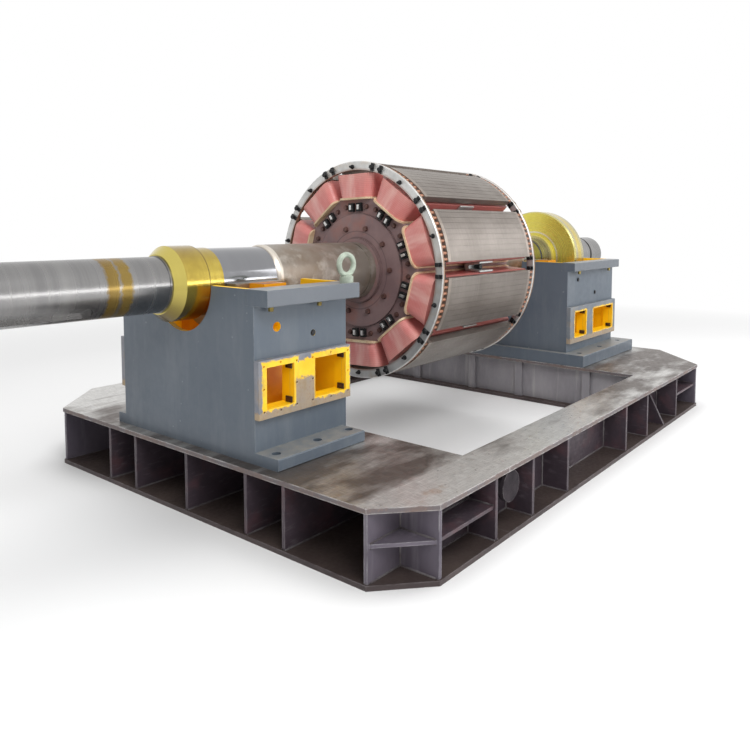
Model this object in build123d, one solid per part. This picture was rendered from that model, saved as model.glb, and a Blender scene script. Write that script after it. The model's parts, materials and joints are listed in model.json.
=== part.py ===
from build123d import *
import math
import os

# Horizontal hydro generator rotor lying in two open bearing pedestals on a fabricated
# steel base frame. Millimetres, X along the shaft (exciter end +X), Y across, Z up.
# The origin is the floor point under the middle of the shaft.

# Base frame
base_height = 360.0
plate_thickness = 25.0
rib_thickness = 20.0
base_half_width = 1610.0
near_end_x = -2130.0
far_end_x = 2330.0
pit_near_x = -1330.0
pit_far_x = 1080.0
rail_width = 283.0
corner_near_front_length = 225.0
corner_near_back_length = 375.0
corner_far_length = 500.0
side_web_depth = 170.0
cross_web_setback = 60.0
sole_reach = 70.0
rib_inset = 8.0
plate_chamfer = 3.0
end_rib_offset_y = -90.0
end_rib_inner_y = 492.0
end_rib_outer_y = 768.0
side_rib_x = (-1437.0, -1070.0, -659.0, 233.0, 640.0, 1299.0)
gusset_x = 1000.0
shelf_thickness = 18.0
shelf_inset = 20.0
trunnion_x = -1290.0
trunnion_radius = 80.0
trunnion_neck_radius = 60.0
trunnion_disc_thickness = 30.0
trunnion_top_gap = 6.0
trunnion_inset = 14.0
stiffener_width = 70.0
stiffener_thickness = 26.0
stiffener_y = (-900.0, -250.0, 250.0, 900.0)

# Bearing pedestals, both split at the shaft's centre line
centre_height = 870.0
side_wall_thickness = 60.0
end_wall_thickness = 30.0
recess_radius = 259.0
saddle_length = 150.0
saddle_half_width = 380.0
frame_thickness = 35.0
foot_hole_radius = 24.0
foot_chamfer = 5.0
near_body_x = -2067.0
near_body_length = 637.0
near_body_half_width = 592.0
near_foot_reaches = (172.0, 76.0)
near_flange_end_gap = 31.0
near_foot_thickness = 60.0
near_lip_reach = 106.0
near_lip_thickness = 82.0
near_foot_hole_x = (60.0, 335.0, 570.0)
near_frame_height = 225.0
near_frame_length = 295.0
near_window_height = 270.0
near_window_length = 210.0
near_window_x = ((50.0, 227.0), (372.0, 602.0))
far_body_x = 1140.0
far_body_length = 966.0
far_body_half_width = 704.0
far_foot_reaches = (184.0, 184.0)
far_foot_thickness = 98.0
far_foot_near_reach = 54.0
far_foot_far_reach = 85.0
far_lip_reach = 65.0
far_lip_thickness = 72.0
far_foot_hole_x = (60.0, 483.0, 906.0)
far_frame_height = 175.0
far_frame_length = 315.0
far_window_height = 225.0
far_window_length = 215.0
far_window_x = ((92.0, 320.0), (470.0, 905.0))
port_radius = 25.0
port_x = 145.0
port_drop = 198.0
probe_radius = 18.0
probe_x = 390.0
probe_drop = 258.0
eye_outer_radius = 70.0
eye_inner_radius = 40.0
eye_collar_radius = 38.0
eye_collar_height = 34.0
eye_height = 98.0
eye_end_gap = 47.0
eye_edge_gap = 53.0

# Shaft and bearings
half_length = 3050.0
drive_radius = 146.0
drive_shoulder_gap = 10.0
seat_radius = 150.0
journal_radius = 182.0
near_journal_setback = 135.0
near_journal_length = 364.0
far_journal_setback = 170.0
far_journal_length = 340.0
main_radius = 194.0
main_groove_x = -790.0
main_groove_width = 12.0
main_groove_depth = 6.0
far_radius = 190.0
tail_radius = 185.0
tail_groove_x = 2740.0
tail_groove_width = 50.0
tail_groove_radius = 172.0
shoulder_taper = 22.0
end_chamfer = 10.0
keyway_length = 450.0
keyway_width = 70.0
keyway_depth = 22.0
keyway_angle = 135.0
bush_end_gap = 18.0
bush_top_gap = 2.0
running_gap = 0.1
fit_gap = 0.3

# Oil thrower and thrust collar
thrower_radius = 200.0
thrower_length = 280.0
thrower_cone_length = 48.0
thrower_nose_radius = 157.0
thrower_neck_radius = 186.0
thrower_neck_length = 94.0
thrust_radius = 450.0
thrust_setback = 276.0
thrust_length = 190.0
thrust_hub_radius = 215.0
thrust_hub_length = 40.0
thrust_chamfer = 12.0

# Rotor
rotor_centre_x = -120.0
poles = 10
rotor_angle = -2.3
rotor_radius = 750.0
rotor_half_length = 600.0
ring_width = 60.0
ring_thickness = 25.0
ring_chamfer = 6.0
bars_per_pole = 9
bar_length = 45.0
bar_radius = 10.0
bar_cover = 20.0
bar_arc_angle = 25.0
pole_setback = 5.0
pole_arc_angle = 28.0
pole_edge_radius = 10.0
shoe_depth = 69.0
spider_half_length = 570.0
spider_step_width = 95.0
spider_step_length = 14.0
hub_ring_width = 31.0
hub_ring_length = 22.0
coil_depth = 161.0
coil_top_gap = 14.0
coil_ring_gap = 5.5
coil_foot_gap = 22.8
coil_side_width = 50.0
coil_end_thickness = 70.0
coil_gap = 4.0
coil_corner_radius = 62.0
washer_thickness = 13.0
washer_reach = 8.0
washer_corner_radius = 50.0
wedge_offset = 42.0
wedge_width = 32.0
wedge_height = 36.0
wedge_top_gap = 26.0
wedge_length = 16.0
brace_half_length = 55.0
brace_drop = 102.0
brace_rise = 26.0
brace_floor_thickness = 36.0
brace_leg_thickness = 12.0
brace_floor_half_width = 11.0
brace_gap = 3.0
brace_stud_radius = 9.0

# Sizes that follow from those above
deck_under_z = base_height - plate_thickness
shaft_z = base_height + centre_height
pit_half_width = base_half_width - rail_width
side_web_y = base_half_width - side_web_depth
near_web_x = pit_near_x - cross_web_setback
far_web_x = pit_far_x + cross_web_setback
near_body_end_x = near_body_x + near_body_length
far_body_end_x = far_body_x + far_body_length
near_journal_x = near_body_x + near_journal_setback
far_journal_x = far_body_x + far_journal_setback
thrower_x = near_journal_x - thrower_length
drive_shoulder_x = thrower_x - drive_shoulder_gap
thrust_x = far_body_end_x - thrust_setback
thrust_end_x = thrust_x + thrust_length
pole_half_length = rotor_half_length - ring_thickness - bar_length
pitch_angle = 360.0 / poles
half_pitch = math.radians(pitch_angle / 2)
ring_inner_radius = rotor_radius - ring_width
bar_circle_radius = rotor_radius - bar_cover
pole_radius = rotor_radius - pole_setback
shoe_base_radius = pole_radius - shoe_depth
coil_outer_radius = shoe_base_radius - coil_top_gap
coil_inner_radius = coil_outer_radius - coil_depth
coil_outer_half_width = math.sqrt((ring_inner_radius - coil_ring_gap) ** 2 - coil_outer_radius ** 2)
coil_inner_half_width = coil_inner_radius * math.tan(half_pitch) - coil_foot_gap
pole_half_width = coil_inner_half_width - coil_side_width
pole_foot_radius = coil_inner_radius - washer_thickness
washer_half_width = coil_inner_half_width + washer_reach
rim_radius = pole_foot_radius / math.cos(half_pitch)
spider_step_radius = pole_foot_radius - spider_step_width
hub_ring_radius = main_radius + hub_ring_width
brace_inner_radius = coil_outer_radius - brace_drop
brace_outer_radius = coil_outer_radius + brace_rise
brace_floor_radius = brace_inner_radius + brace_floor_thickness


def block(xs, ys, zs):
    size = Box(abs(xs[1] - xs[0]), abs(ys[1] - ys[0]), abs(zs[1] - zs[0]))
    return Pos((xs[0] + xs[1]) / 2, (ys[0] + ys[1]) / 2, (zs[0] + zs[1]) / 2) * size


def both_sides(piece):
    return [piece, mirror(piece, about=Plane.XZ)]


def plate(points, low_z, thickness):
    return Pos(0, 0, low_z) * extrude(make_face(Polyline(*points, close=True)), amount=thickness)


def rod(radius, xs):
    return Pos((xs[0] + xs[1]) / 2, 0, shaft_z) * Rot(0, 90, 0) * Cylinder(radius, abs(xs[1] - xs[0]))


def turned(stations):
    points = [(stations[0][0], 0)] + list(stations) + [(stations[-1][0], 0)]
    face = Plane.XZ * make_face(Polyline(*points, close=True))
    return Pos(0, 0, shaft_z) * revolve(face, Axis.X)


def around(piece, place):
    return Pos(0, 0, shaft_z) * Rot(place * pitch_angle + rotor_angle, 0, 0) * piece


def near_outline(inner_x):
    return [(near_end_x, base_half_width - corner_near_back_length),
            (near_end_x, corner_near_front_length - base_half_width),
            (near_end_x + corner_near_front_length, -base_half_width),
            (inner_x, -base_half_width),
            (inner_x, base_half_width),
            (near_end_x + corner_near_back_length, base_half_width)]


def far_outline(inner_x):
    return [(inner_x, -base_half_width),
            (far_end_x - corner_far_length, -base_half_width),
            (far_end_x, corner_far_length - base_half_width),
            (far_end_x, base_half_width - corner_far_length),
            (far_end_x - corner_far_length, base_half_width),
            (inner_x, base_half_width)]


def deck_and_soles():
    rail = block((pit_near_x, pit_far_x), (-base_half_width, -pit_half_width), (deck_under_z, base_height))
    sole_xs = (near_web_x + sole_reach, far_web_x - sole_reach)
    sole_inner_y = pit_half_width + cross_web_setback - sole_reach
    sole = block(sole_xs, (-base_half_width, -sole_inner_y), (0, plate_thickness))
    return {
        "end_decks": [plate(near_outline(pit_near_x), deck_under_z, plate_thickness),
                      plate(far_outline(pit_far_x), deck_under_z, plate_thickness)],
        "deck_rails": both_sides(rail),
        "end_soles": [plate(near_outline(sole_xs[0]), 0, plate_thickness),
                      plate(far_outline(sole_xs[1]), 0, plate_thickness)],
        "sole_rails": both_sides(sole),
    }


def webs():
    height = (plate_thickness, deck_under_z)
    inner_y = side_web_y - rib_thickness
    far_x = far_end_x - corner_far_length - rib_thickness
    sides = []
    for side, corner in ((-1, corner_near_front_length), (1, corner_near_back_length)):
        near_x = near_end_x + corner + rib_thickness
        sides.append(block((near_x, far_x), (side * side_web_y, side * inner_y), height))
    across = (-inner_y, inner_y)
    cross = [block((near_web_x - rib_thickness, near_web_x), across, height),
             block((far_web_x, far_web_x + rib_thickness), across, height)]
    return {"side_webs": sides, "cross_webs": cross}


def pit_stiffeners():
    xs = (far_web_x - stiffener_thickness, far_web_x)
    height = (plate_thickness, deck_under_z)
    return [block(xs, (y - stiffener_width / 2, y + stiffener_width / 2), height) for y in stiffener_y]


def end_ribs():
    height = (plate_thickness, deck_under_z)
    near_xs = (near_end_x + rib_inset, near_web_x - rib_thickness)
    far_xs = (far_web_x + rib_thickness, far_end_x - rib_inset)
    ribs = []
    for offset in (-end_rib_outer_y, -end_rib_inner_y, 0, end_rib_inner_y, end_rib_outer_y):
        middle = end_rib_offset_y + offset
        ys = (middle - rib_thickness / 2, middle + rib_thickness / 2)
        ribs += [block(near_xs, ys, height), block(far_xs, ys, height)]
    return ribs


def side_ribs():
    height = (plate_thickness, deck_under_z)
    ys = (rib_inset - base_half_width, -side_web_y)
    ribs = []
    for x in side_rib_x:
        ribs += both_sides(block((x - rib_thickness / 2, x + rib_thickness / 2), ys, height))
    return ribs


def bay_gussets():
    outer_y = rib_inset - base_half_width
    side = make_face(Polyline((-side_web_y, plate_thickness), (outer_y, plate_thickness),
                              (-side_web_y, deck_under_z), close=True))
    gusset = extrude(Plane.YZ * side, amount=rib_thickness)
    return both_sides(Pos(gusset_x, 0, 0) * gusset)


def corner_cell(corner, end_x, inward, side):
    # Two upright plates run in from the ends of the cut corner and meet behind a half-height shelf.
    height = (plate_thickness, deck_under_z)
    inner_x = end_x + inward * corner
    inner_y = side * (base_half_width - corner)
    outer_x = end_x + inward * rib_inset
    outer_y = side * (base_half_width - rib_inset)
    behind_x = inner_x + inward * rib_thickness
    behind_y = inner_y - side * rib_thickness
    uprights = block((outer_x, behind_x), (inner_y, behind_y), height)
    uprights += block((inner_x, behind_x), (outer_y, inner_y), height)
    shelf = plate([(end_x + inward * shelf_inset, inner_y),
                   (inner_x, inner_y),
                   (inner_x, side * (base_half_width - shelf_inset))], base_height / 2, shelf_thickness)
    return uprights + shelf


def corner_cells():
    return [corner_cell(corner_near_front_length, near_end_x, 1, -1),
            corner_cell(corner_near_back_length, near_end_x, 1, 1),
            corner_cell(corner_far_length, far_end_x, -1, -1),
            corner_cell(corner_far_length, far_end_x, -1, 1)]


def trunnions():
    reach = side_web_depth - trunnion_inset
    disc = Cylinder(trunnion_radius, trunnion_disc_thickness)
    disc = Pos(0, 0, (reach - trunnion_disc_thickness) / 2) * disc
    stub = Rot(90, 0, 0) * (Cylinder(trunnion_neck_radius, reach) + disc)
    height = deck_under_z - trunnion_top_gap - trunnion_radius
    return both_sides(Pos(trunnion_x, -side_web_y - reach / 2, height) * stub)


def foot(body_xs, flange_xs, half_width, reaches, thickness, hole_x):
    # The bolted flanges run out to the front and back of a slab that lies under the whole body.
    zs = (base_height, base_height + thickness)
    flange = block(flange_xs, (-half_width - reaches[0], half_width + reaches[1]), zs)
    flange = chamfer(flange.edges().filter_by(Axis.X), foot_chamfer)
    slab = flange + block(body_xs, (-half_width, half_width), zs)
    for y in (-half_width - reaches[0] / 2, half_width + reaches[1] / 2):
        for x in hole_x:
            hole = Pos(body_xs[0] + x, y, base_height + thickness / 2)
            slab -= hole * Cylinder(foot_hole_radius, thickness)
    return [slab]


def end_walls(start_x, end_x, half_width, foot_thickness):
    inner_y = half_width - side_wall_thickness
    zs = (base_height + foot_thickness, shaft_z)
    walls = []
    for xs in ((start_x, start_x + end_wall_thickness), (end_x - end_wall_thickness, end_x)):
        walls.append(block(xs, (-inner_y, inner_y), zs) - rod(recess_radius, xs))
    return walls


def window_cuts(start_x, half_width, windows, height, length):
    ys = (-half_width - frame_thickness, side_wall_thickness - half_width)
    zs = (base_height + height, base_height + height + length)
    return [block((start_x + window[0], start_x + window[1]), ys, zs) for window in windows]


def side_walls(xs, half_width, foot_thickness, lip_thickness, cuts):
    ys = (-half_width, side_wall_thickness - half_width)
    wall = block(xs, ys, (base_height + foot_thickness, shaft_z - lip_thickness)) - cuts
    return wall


def port_cut(radius, x, drop):
    depth = side_wall_thickness
    drill = Rot(90, 0, 0) * Cylinder(radius, depth)
    return Pos(near_body_x + x, depth / 2 - near_body_half_width, shaft_z - drop) * drill


def window_frames(xs, half_width, height, length, cuts):
    ys = (-half_width - frame_thickness, -half_width)
    return both_sides(block(xs, ys, (base_height + height, base_height + height + length)) - cuts)


def lips(xs, half_width, reach, thickness):
    ys = (-half_width - reach, side_wall_thickness - half_width)
    bar = block(xs, ys, (shaft_z - thickness, shaft_z))
    return both_sides(chamfer(bar.edges().filter_by(Axis.X), plate_chamfer))


def saddle(journal_x, journal_length, foot_thickness):
    middle = journal_x + journal_length / 2
    xs = (middle - saddle_length / 2, middle + saddle_length / 2)
    zs = (base_height + foot_thickness, shaft_z - bush_top_gap)
    return [block(xs, (-saddle_half_width, saddle_half_width), zs) - rod(recess_radius, xs)]


def bush(journal_x, journal_length):
    xs = (journal_x + bush_end_gap, journal_x + journal_length - bush_end_gap)
    shell = rod(recess_radius - fit_gap, xs) - rod(journal_radius + running_gap, xs)
    above = (shaft_z - bush_top_gap, shaft_z + recess_radius)
    return [shell - block(xs, (-recess_radius, recess_radius), above)]


def pedestals():
    near_xs = (near_body_x, near_body_end_x)
    far_xs = (far_body_x, far_body_end_x)
    near_flange_xs = (near_body_x, near_body_end_x - near_flange_end_gap)
    far_flange_xs = (far_body_x - far_foot_near_reach, far_body_end_x + far_foot_far_reach)
    near_cuts = window_cuts(near_body_x, near_body_half_width, near_window_x,
                            near_window_height, near_window_length)
    far_cuts = window_cuts(far_body_x, far_body_half_width, far_window_x,
                           far_window_height, far_window_length)
    ports = [port_cut(port_radius, port_x, port_drop), port_cut(probe_radius, probe_x, probe_drop)]
    return {
        "near_foot": foot(near_xs, near_flange_xs, near_body_half_width, near_foot_reaches,
                          near_foot_thickness, near_foot_hole_x),
        "near_end_walls": end_walls(*near_xs, near_body_half_width, near_foot_thickness),
        "near_side_walls": both_sides(side_walls(near_xs, near_body_half_width, near_foot_thickness,
                                                 near_lip_thickness, near_cuts + ports)),
        "near_lips": lips(near_xs, near_body_half_width, near_lip_reach, near_lip_thickness),
        "near_window_frames": window_frames(near_xs, near_body_half_width, near_frame_height,
                                            near_frame_length, near_cuts),
        "near_saddle": saddle(near_journal_x, near_journal_length, near_foot_thickness),
        "near_bush": bush(near_journal_x, near_journal_length),
        "far_foot": foot(far_xs, far_flange_xs, far_body_half_width, far_foot_reaches,
                         far_foot_thickness, far_foot_hole_x),
        "far_end_walls": end_walls(*far_xs, far_body_half_width, far_foot_thickness),
        "far_side_walls": both_sides(side_walls(far_xs, far_body_half_width, far_foot_thickness,
                                                far_lip_thickness, far_cuts)),
        "far_lips": lips(far_xs, far_body_half_width, far_lip_reach, far_lip_thickness),
        "far_window_frames": window_frames(far_xs, far_body_half_width, far_frame_height,
                                           far_frame_length, far_cuts),
        "far_saddle": saddle(far_journal_x, far_journal_length, far_foot_thickness),
        "far_bush": bush(far_journal_x, far_journal_length),
    }


def eyebolt():
    place = Pos(near_body_end_x - eye_end_gap, eye_edge_gap - near_body_half_width - near_lip_reach, shaft_z)
    wire = (eye_outer_radius - eye_inner_radius) / 2
    ring = Pos(0, 0, eye_height) * Rot(90, 0, 0) * Torus(eye_inner_radius + wire, wire)
    collar = Pos(0, 0, eye_collar_height / 2) * Cylinder(eye_collar_radius, eye_collar_height)
    neck_height = eye_height - eye_inner_radius - wire - eye_collar_height
    neck = Cone(eye_collar_radius, wire, neck_height, align=(Align.CENTER, Align.CENTER, Align.MIN))
    return place * (collar + Pos(0, 0, eye_collar_height) * neck + ring)


def shaft():
    near_journal_end_x = near_journal_x + near_journal_length
    far_journal_end_x = far_journal_x + far_journal_length
    main_groove_radius = main_radius - main_groove_depth
    tail_groove_end_x = tail_groove_x + tail_groove_width
    body = turned([
        (-half_length, drive_radius - end_chamfer),
        (end_chamfer - half_length, drive_radius),
        (drive_shoulder_x, drive_radius),
        (drive_shoulder_x, seat_radius),
        (near_journal_x, seat_radius),
        (near_journal_x, journal_radius),
        (near_journal_end_x, journal_radius),
        (near_journal_end_x + shoulder_taper, main_radius),
        (main_groove_x, main_radius),
        (main_groove_x, main_groove_radius),
        (main_groove_x + main_groove_width, main_groove_radius),
        (main_groove_x + main_groove_width, main_radius),
        (far_journal_x - shoulder_taper, main_radius),
        (far_journal_x, journal_radius),
        (far_journal_end_x, journal_radius),
        (far_journal_end_x, far_radius),
        (tail_groove_x, far_radius),
        (tail_groove_x, tail_groove_radius),
        (tail_groove_end_x, tail_groove_radius),
        (tail_groove_end_x, tail_radius),
        (half_length - end_chamfer, tail_radius),
        (half_length, tail_radius - end_chamfer)])
    straight = keyway_length - keyway_width / 2
    key = block((-half_length, straight - half_length), (-keyway_width / 2, keyway_width / 2),
                (drive_radius - keyway_depth, drive_radius + keyway_depth))
    key += Pos(straight - half_length, 0, drive_radius) * Cylinder(keyway_width / 2, 2 * keyway_depth)
    return body - Pos(0, 0, shaft_z) * Rot(keyway_angle, 0, 0) * key


def oil_thrower():
    neck_x = near_journal_x - thrower_neck_length
    ring = turned([
        (thrower_x, thrower_nose_radius),
        (thrower_x + thrower_cone_length, thrower_radius),
        (neck_x, thrower_radius),
        (neck_x, thrower_neck_radius),
        (near_journal_x, thrower_neck_radius)])
    return ring - rod(seat_radius + fit_gap, (thrower_x, near_journal_x))


def thrust_collar():
    hub_x = thrust_x - thrust_hub_length
    disc = turned([
        (hub_x, thrust_hub_radius),
        (thrust_x, thrust_hub_radius),
        (thrust_x, thrust_radius - thrust_chamfer),
        (thrust_x + thrust_chamfer, thrust_radius),
        (thrust_end_x - thrust_chamfer, thrust_radius),
        (thrust_end_x, thrust_radius - thrust_chamfer)])
    return disc - rod(far_radius + fit_gap, (hub_x, thrust_end_x))


def spider():
    side = Plane.YZ * Rot(0, 0, 90 + pitch_angle / 2) * RegularPolygon(rim_radius, poles)
    body = Pos(rotor_centre_x - spider_half_length, 0, 0) * extrude(side, amount=2 * spider_half_length)
    body = around(body, 0)
    for way in (-1, 1):
        face_x = rotor_centre_x + way * spider_half_length
        step_x = face_x + way * spider_step_length
        body += rod(spider_step_radius, (face_x, step_x))
        body += rod(hub_ring_radius, (face_x, step_x + way * hub_ring_length))
    reach = spider_half_length + spider_step_length + hub_ring_length
    return body - rod(main_radius + fit_gap, (rotor_centre_x - reach, rotor_centre_x + reach))


def pole():
    tip = math.radians(pole_arc_angle / 2)
    edge_y = pole_radius * math.sin(tip)
    edge_z = pole_radius * math.cos(tip)
    root_y = shoe_base_radius * math.tan(tip)
    outline = Polyline((-edge_y, edge_z), (-root_y, shoe_base_radius), (-pole_half_width, shoe_base_radius),
                       (-pole_half_width, pole_foot_radius), (pole_half_width, pole_foot_radius),
                       (pole_half_width, shoe_base_radius), (root_y, shoe_base_radius), (edge_y, edge_z))
    crown = ThreePointArc((edge_y, edge_z), (0, pole_radius), (-edge_y, edge_z))
    side = make_face([outline, crown])
    side = fillet(side.vertices().sort_by(Axis.Y)[-2:], pole_edge_radius)
    body = extrude(Plane.YZ * side, amount=2 * pole_half_length)
    return Pos(rotor_centre_x - pole_half_length, 0, 0) * body


def pole_room(zs):
    reach = pole_half_length + coil_gap
    half_width = pole_half_width + coil_gap
    return block((-reach, reach), (-half_width, half_width), zs)


def coil():
    length = 2 * (pole_half_length + coil_gap + coil_end_thickness)
    inner = Plane.XY.offset(coil_inner_radius) * RectangleRounded(
        length, 2 * coil_inner_half_width, coil_corner_radius)
    outer = Plane.XY.offset(coil_outer_radius) * RectangleRounded(
        length, 2 * coil_outer_half_width, coil_corner_radius)
    winding = loft([inner, outer]) - pole_room((pole_foot_radius, shoe_base_radius))
    return Pos(rotor_centre_x, 0, 0) * winding


def coil_washer():
    length = 2 * (pole_half_length + coil_gap + coil_end_thickness + washer_reach)
    outline = RectangleRounded(length, 2 * washer_half_width, washer_corner_radius)
    board = Pos(0, 0, pole_foot_radius) * extrude(outline, amount=coil_inner_radius - pole_foot_radius)
    return Pos(rotor_centre_x, 0, 0) * (board - pole_room((pole_foot_radius, coil_inner_radius)))


def damper_ring(way):
    face_x = rotor_centre_x + way * rotor_half_length
    inner_x = face_x - way * ring_thickness
    seat_x = inner_x - way * bar_length
    ring = rod(rotor_radius, (face_x, inner_x)) - rod(ring_inner_radius, (face_x, inner_x))
    ring = chamfer(ring.edges().filter_by(GeomType.CIRCLE).group_by(SortBy.RADIUS)[-1], ring_chamfer)
    middle_x = (face_x + inner_x) / 2
    bar = Pos((middle_x + seat_x) / 2, 0, bar_circle_radius) * Rot(0, 90, 0) * Cylinder(
        bar_radius, abs(middle_x - seat_x))
    bars = []
    for place in range(poles):
        for step in range(bars_per_pole):
            share = step / (bars_per_pole - 1) - 1 / 2
            bars.append(around(bar, place + share * bar_arc_angle / pitch_angle))
    return ring.fuse(*bars)


def pole_wedges():
    pieces = []
    top_z = pole_foot_radius - wedge_top_gap
    for way in (-1, 1):
        face_x = rotor_centre_x + way * spider_half_length
        for side in (-1, 1):
            ys = (side * wedge_offset - wedge_width / 2, side * wedge_offset + wedge_width / 2)
            wedge = block((face_x, face_x + way * wedge_length), ys, (top_z - wedge_height, top_z))
            pieces += [around(wedge, place) for place in range(poles)]
    return pieces


def coil_brace():
    # The V block fills the room between neighbouring coil sides, which widens with the radius.
    inner_along = coil_inner_radius * math.cos(half_pitch) + coil_inner_half_width * math.sin(half_pitch)
    inner_room = coil_inner_radius * math.sin(half_pitch) - coil_inner_half_width * math.cos(half_pitch)
    outer_along = coil_outer_radius * math.cos(half_pitch) + coil_outer_half_width * math.sin(half_pitch)
    outer_room = coil_outer_radius * math.sin(half_pitch) - coil_outer_half_width * math.cos(half_pitch)
    slope = (outer_room - inner_room) / (outer_along - inner_along)
    inner_half = inner_room + slope * (brace_inner_radius - inner_along) - brace_gap
    outer_half = inner_room + slope * (brace_outer_radius - inner_along) - brace_gap
    leg_half = outer_half - brace_leg_thickness
    side = Plane.YZ * make_face(Polyline((-inner_half, brace_inner_radius), (inner_half, brace_inner_radius),
                                         (outer_half, brace_outer_radius), (leg_half, brace_outer_radius),
                                         (brace_floor_half_width, brace_floor_radius),
                                         (-brace_floor_half_width, brace_floor_radius),
                                         (-leg_half, brace_outer_radius), (-outer_half, brace_outer_radius),
                                         close=True))
    body = Pos(rotor_centre_x - brace_half_length, 0, 0) * extrude(side, amount=2 * brace_half_length)
    stud_length = brace_inner_radius - rim_radius
    stud = Pos(rotor_centre_x, 0, rim_radius + stud_length / 2) * Cylinder(brace_stud_radius, stud_length)
    return body + stud


pieces = {}
pieces.update(deck_and_soles())
pieces.update(webs())
pieces["pit_stiffeners"] = pit_stiffeners()
pieces["end_ribs"] = end_ribs()
pieces["side_ribs"] = side_ribs()
pieces["bay_gussets"] = bay_gussets()
pieces["corner_cells"] = corner_cells()
pieces["trunnions"] = trunnions()
pieces.update(pedestals())
pieces["eyebolt"] = [eyebolt()]
pieces["shaft"] = [shaft()]
pieces["oil_thrower"] = [oil_thrower()]
pieces["thrust_collar"] = [thrust_collar()]
pieces["spider"] = [spider()]
for number in range(poles):
    pieces[f"pole_{number + 1:02d}"] = [around(pole(), number)]
    pieces[f"coil_{number + 1:02d}"] = [around(coil(), number)]
pieces["coil_washers"] = [around(coil_washer(), place) for place in range(poles)]
pieces["damper_ring_near"] = [damper_ring(-1)]
pieces["damper_ring_far"] = [damper_ring(1)]
pieces["pole_wedges"] = pole_wedges()
pieces["coil_braces"] = [around(coil_brace(), place + 1 / 2) for place in range(poles)]

os.makedirs("parts", exist_ok=True)
for name, shapes in pieces.items():
    solids = [solid for shape in shapes for solid in shape.solids()]
    export_step(Compound(children=solids) if len(solids) > 1 else solids[0], f"parts/{name}.step")
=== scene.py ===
import bpy
import bmesh
import json
import math
from mathutils import Matrix, Vector


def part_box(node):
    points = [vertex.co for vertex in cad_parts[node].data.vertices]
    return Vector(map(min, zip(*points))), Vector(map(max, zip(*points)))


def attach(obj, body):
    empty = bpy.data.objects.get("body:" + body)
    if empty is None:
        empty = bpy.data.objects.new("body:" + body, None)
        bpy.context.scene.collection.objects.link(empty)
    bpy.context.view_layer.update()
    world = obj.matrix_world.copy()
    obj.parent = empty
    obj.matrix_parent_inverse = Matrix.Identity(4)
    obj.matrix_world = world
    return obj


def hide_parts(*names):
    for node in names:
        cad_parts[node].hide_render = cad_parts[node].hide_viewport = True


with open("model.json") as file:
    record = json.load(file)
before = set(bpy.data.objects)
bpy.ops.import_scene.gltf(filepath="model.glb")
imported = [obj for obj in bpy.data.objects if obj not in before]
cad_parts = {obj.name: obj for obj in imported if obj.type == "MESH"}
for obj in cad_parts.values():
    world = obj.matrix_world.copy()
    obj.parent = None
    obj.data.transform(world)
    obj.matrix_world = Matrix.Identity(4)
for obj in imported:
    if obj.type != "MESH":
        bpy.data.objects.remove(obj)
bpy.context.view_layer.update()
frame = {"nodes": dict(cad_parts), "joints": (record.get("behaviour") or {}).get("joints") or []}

# Deck plates: 25 mm mild steel with flame-cut corners, welded down on the frame and ground flat.
# The tops are bare steel, bright where they were ground last and brown-grey where oil and scale were left;
# the cut edges keep a thin rust. Along the rails the bright steel grows towards the near end as a painted
# highlight.


def chip(red, green, blue):
    """A colour read in steps of 0 to 255, as the linear values that a shader takes."""
    steps = (red / 255, green / 255, blue / 255)
    return tuple(v / 12.92 if v <= 0.04045 else ((v + 0.055) / 1.055) ** 2.4 for v in steps) + (1.0,)


def new_finish(name):
    material = bpy.data.materials.new(name)
    material.use_nodes = True
    return material, material.node_tree, material.node_tree.nodes["Principled BSDF"]


def put(tree, kind, inputs=None, **settings):
    node = tree.nodes.new("ShaderNode" + kind)
    for key, value in settings.items():
        setattr(node, key, value)
    for key, value in (inputs or {}).items():
        if isinstance(value, bpy.types.NodeSocket):
            tree.links.new(value, node.inputs[key])
        else:
            node.inputs[key].default_value = value
    return node


def feed(tree, shader, **sockets):
    for label, value in sockets.items():
        target = shader.inputs[label.replace("_", " ")]
        if isinstance(value, bpy.types.NodeSocket):
            tree.links.new(value, target)
        else:
            target.default_value = value


def split(tree, vector):
    return put(tree, "SeparateXYZ", {0: vector}).outputs


def surface(tree):
    """A point's place on its piece, the three coordinates of that place, and the way its face looks."""
    source = put(tree, "TexCoord").outputs
    return source["Object"], split(tree, source["Object"]), split(tree, source["Normal"])


def mixed(tree, share, first, second):
    return put(tree, "Mix", {0: share, 6: first, 7: second}, data_type="RGBA").outputs[2]


def graded(tree, value, low, high, to_low=0.0, to_high=1.0):
    inputs = {"Value": value, "From Min": low, "From Max": high, "To Min": to_low, "To Max": to_high}
    return put(tree, "MapRange", inputs).outputs[0]


def spread(tree, value, to_low, to_high):
    """A noise value, whose usual range is 0.3 to 0.7, stretched to these ends."""
    return graded(tree, value, 0.3, 0.7, to_low, to_high)


def maths(way):
    """A function that puts in a Math node working that way."""
    def node(tree, first, second=0.0):
        return put(tree, "Math", {0: first, 1: second}, operation=way).outputs[0]
    return node


times = maths("MULTIPLY")
plus = maths("ADD")
most = maths("MAXIMUM")
size_of = maths("ABSOLUTE")


def noise(tree, place, scale, detail=3.0, roughness=0.55):
    inputs = {"Vector": place, "Scale": scale, "Detail": detail, "Roughness": roughness}
    return put(tree, "TexNoise", inputs).outputs[0]


def stretched(tree, place, sizes, shift=(0, 0, 0)):
    return put(tree, "Mapping", {"Vector": place, "Scale": sizes, "Location": shift}).outputs[0]


def bumped(tree, height, strength, distance, rounding=0.0):
    inputs = {"Height": height, "Strength": strength, "Distance": distance}
    if rounding:
        inputs["Normal"] = put(tree, "Bevel", {"Radius": rounding}, samples=4).outputs[0]
    return put(tree, "Bump", inputs).outputs[0]


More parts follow.
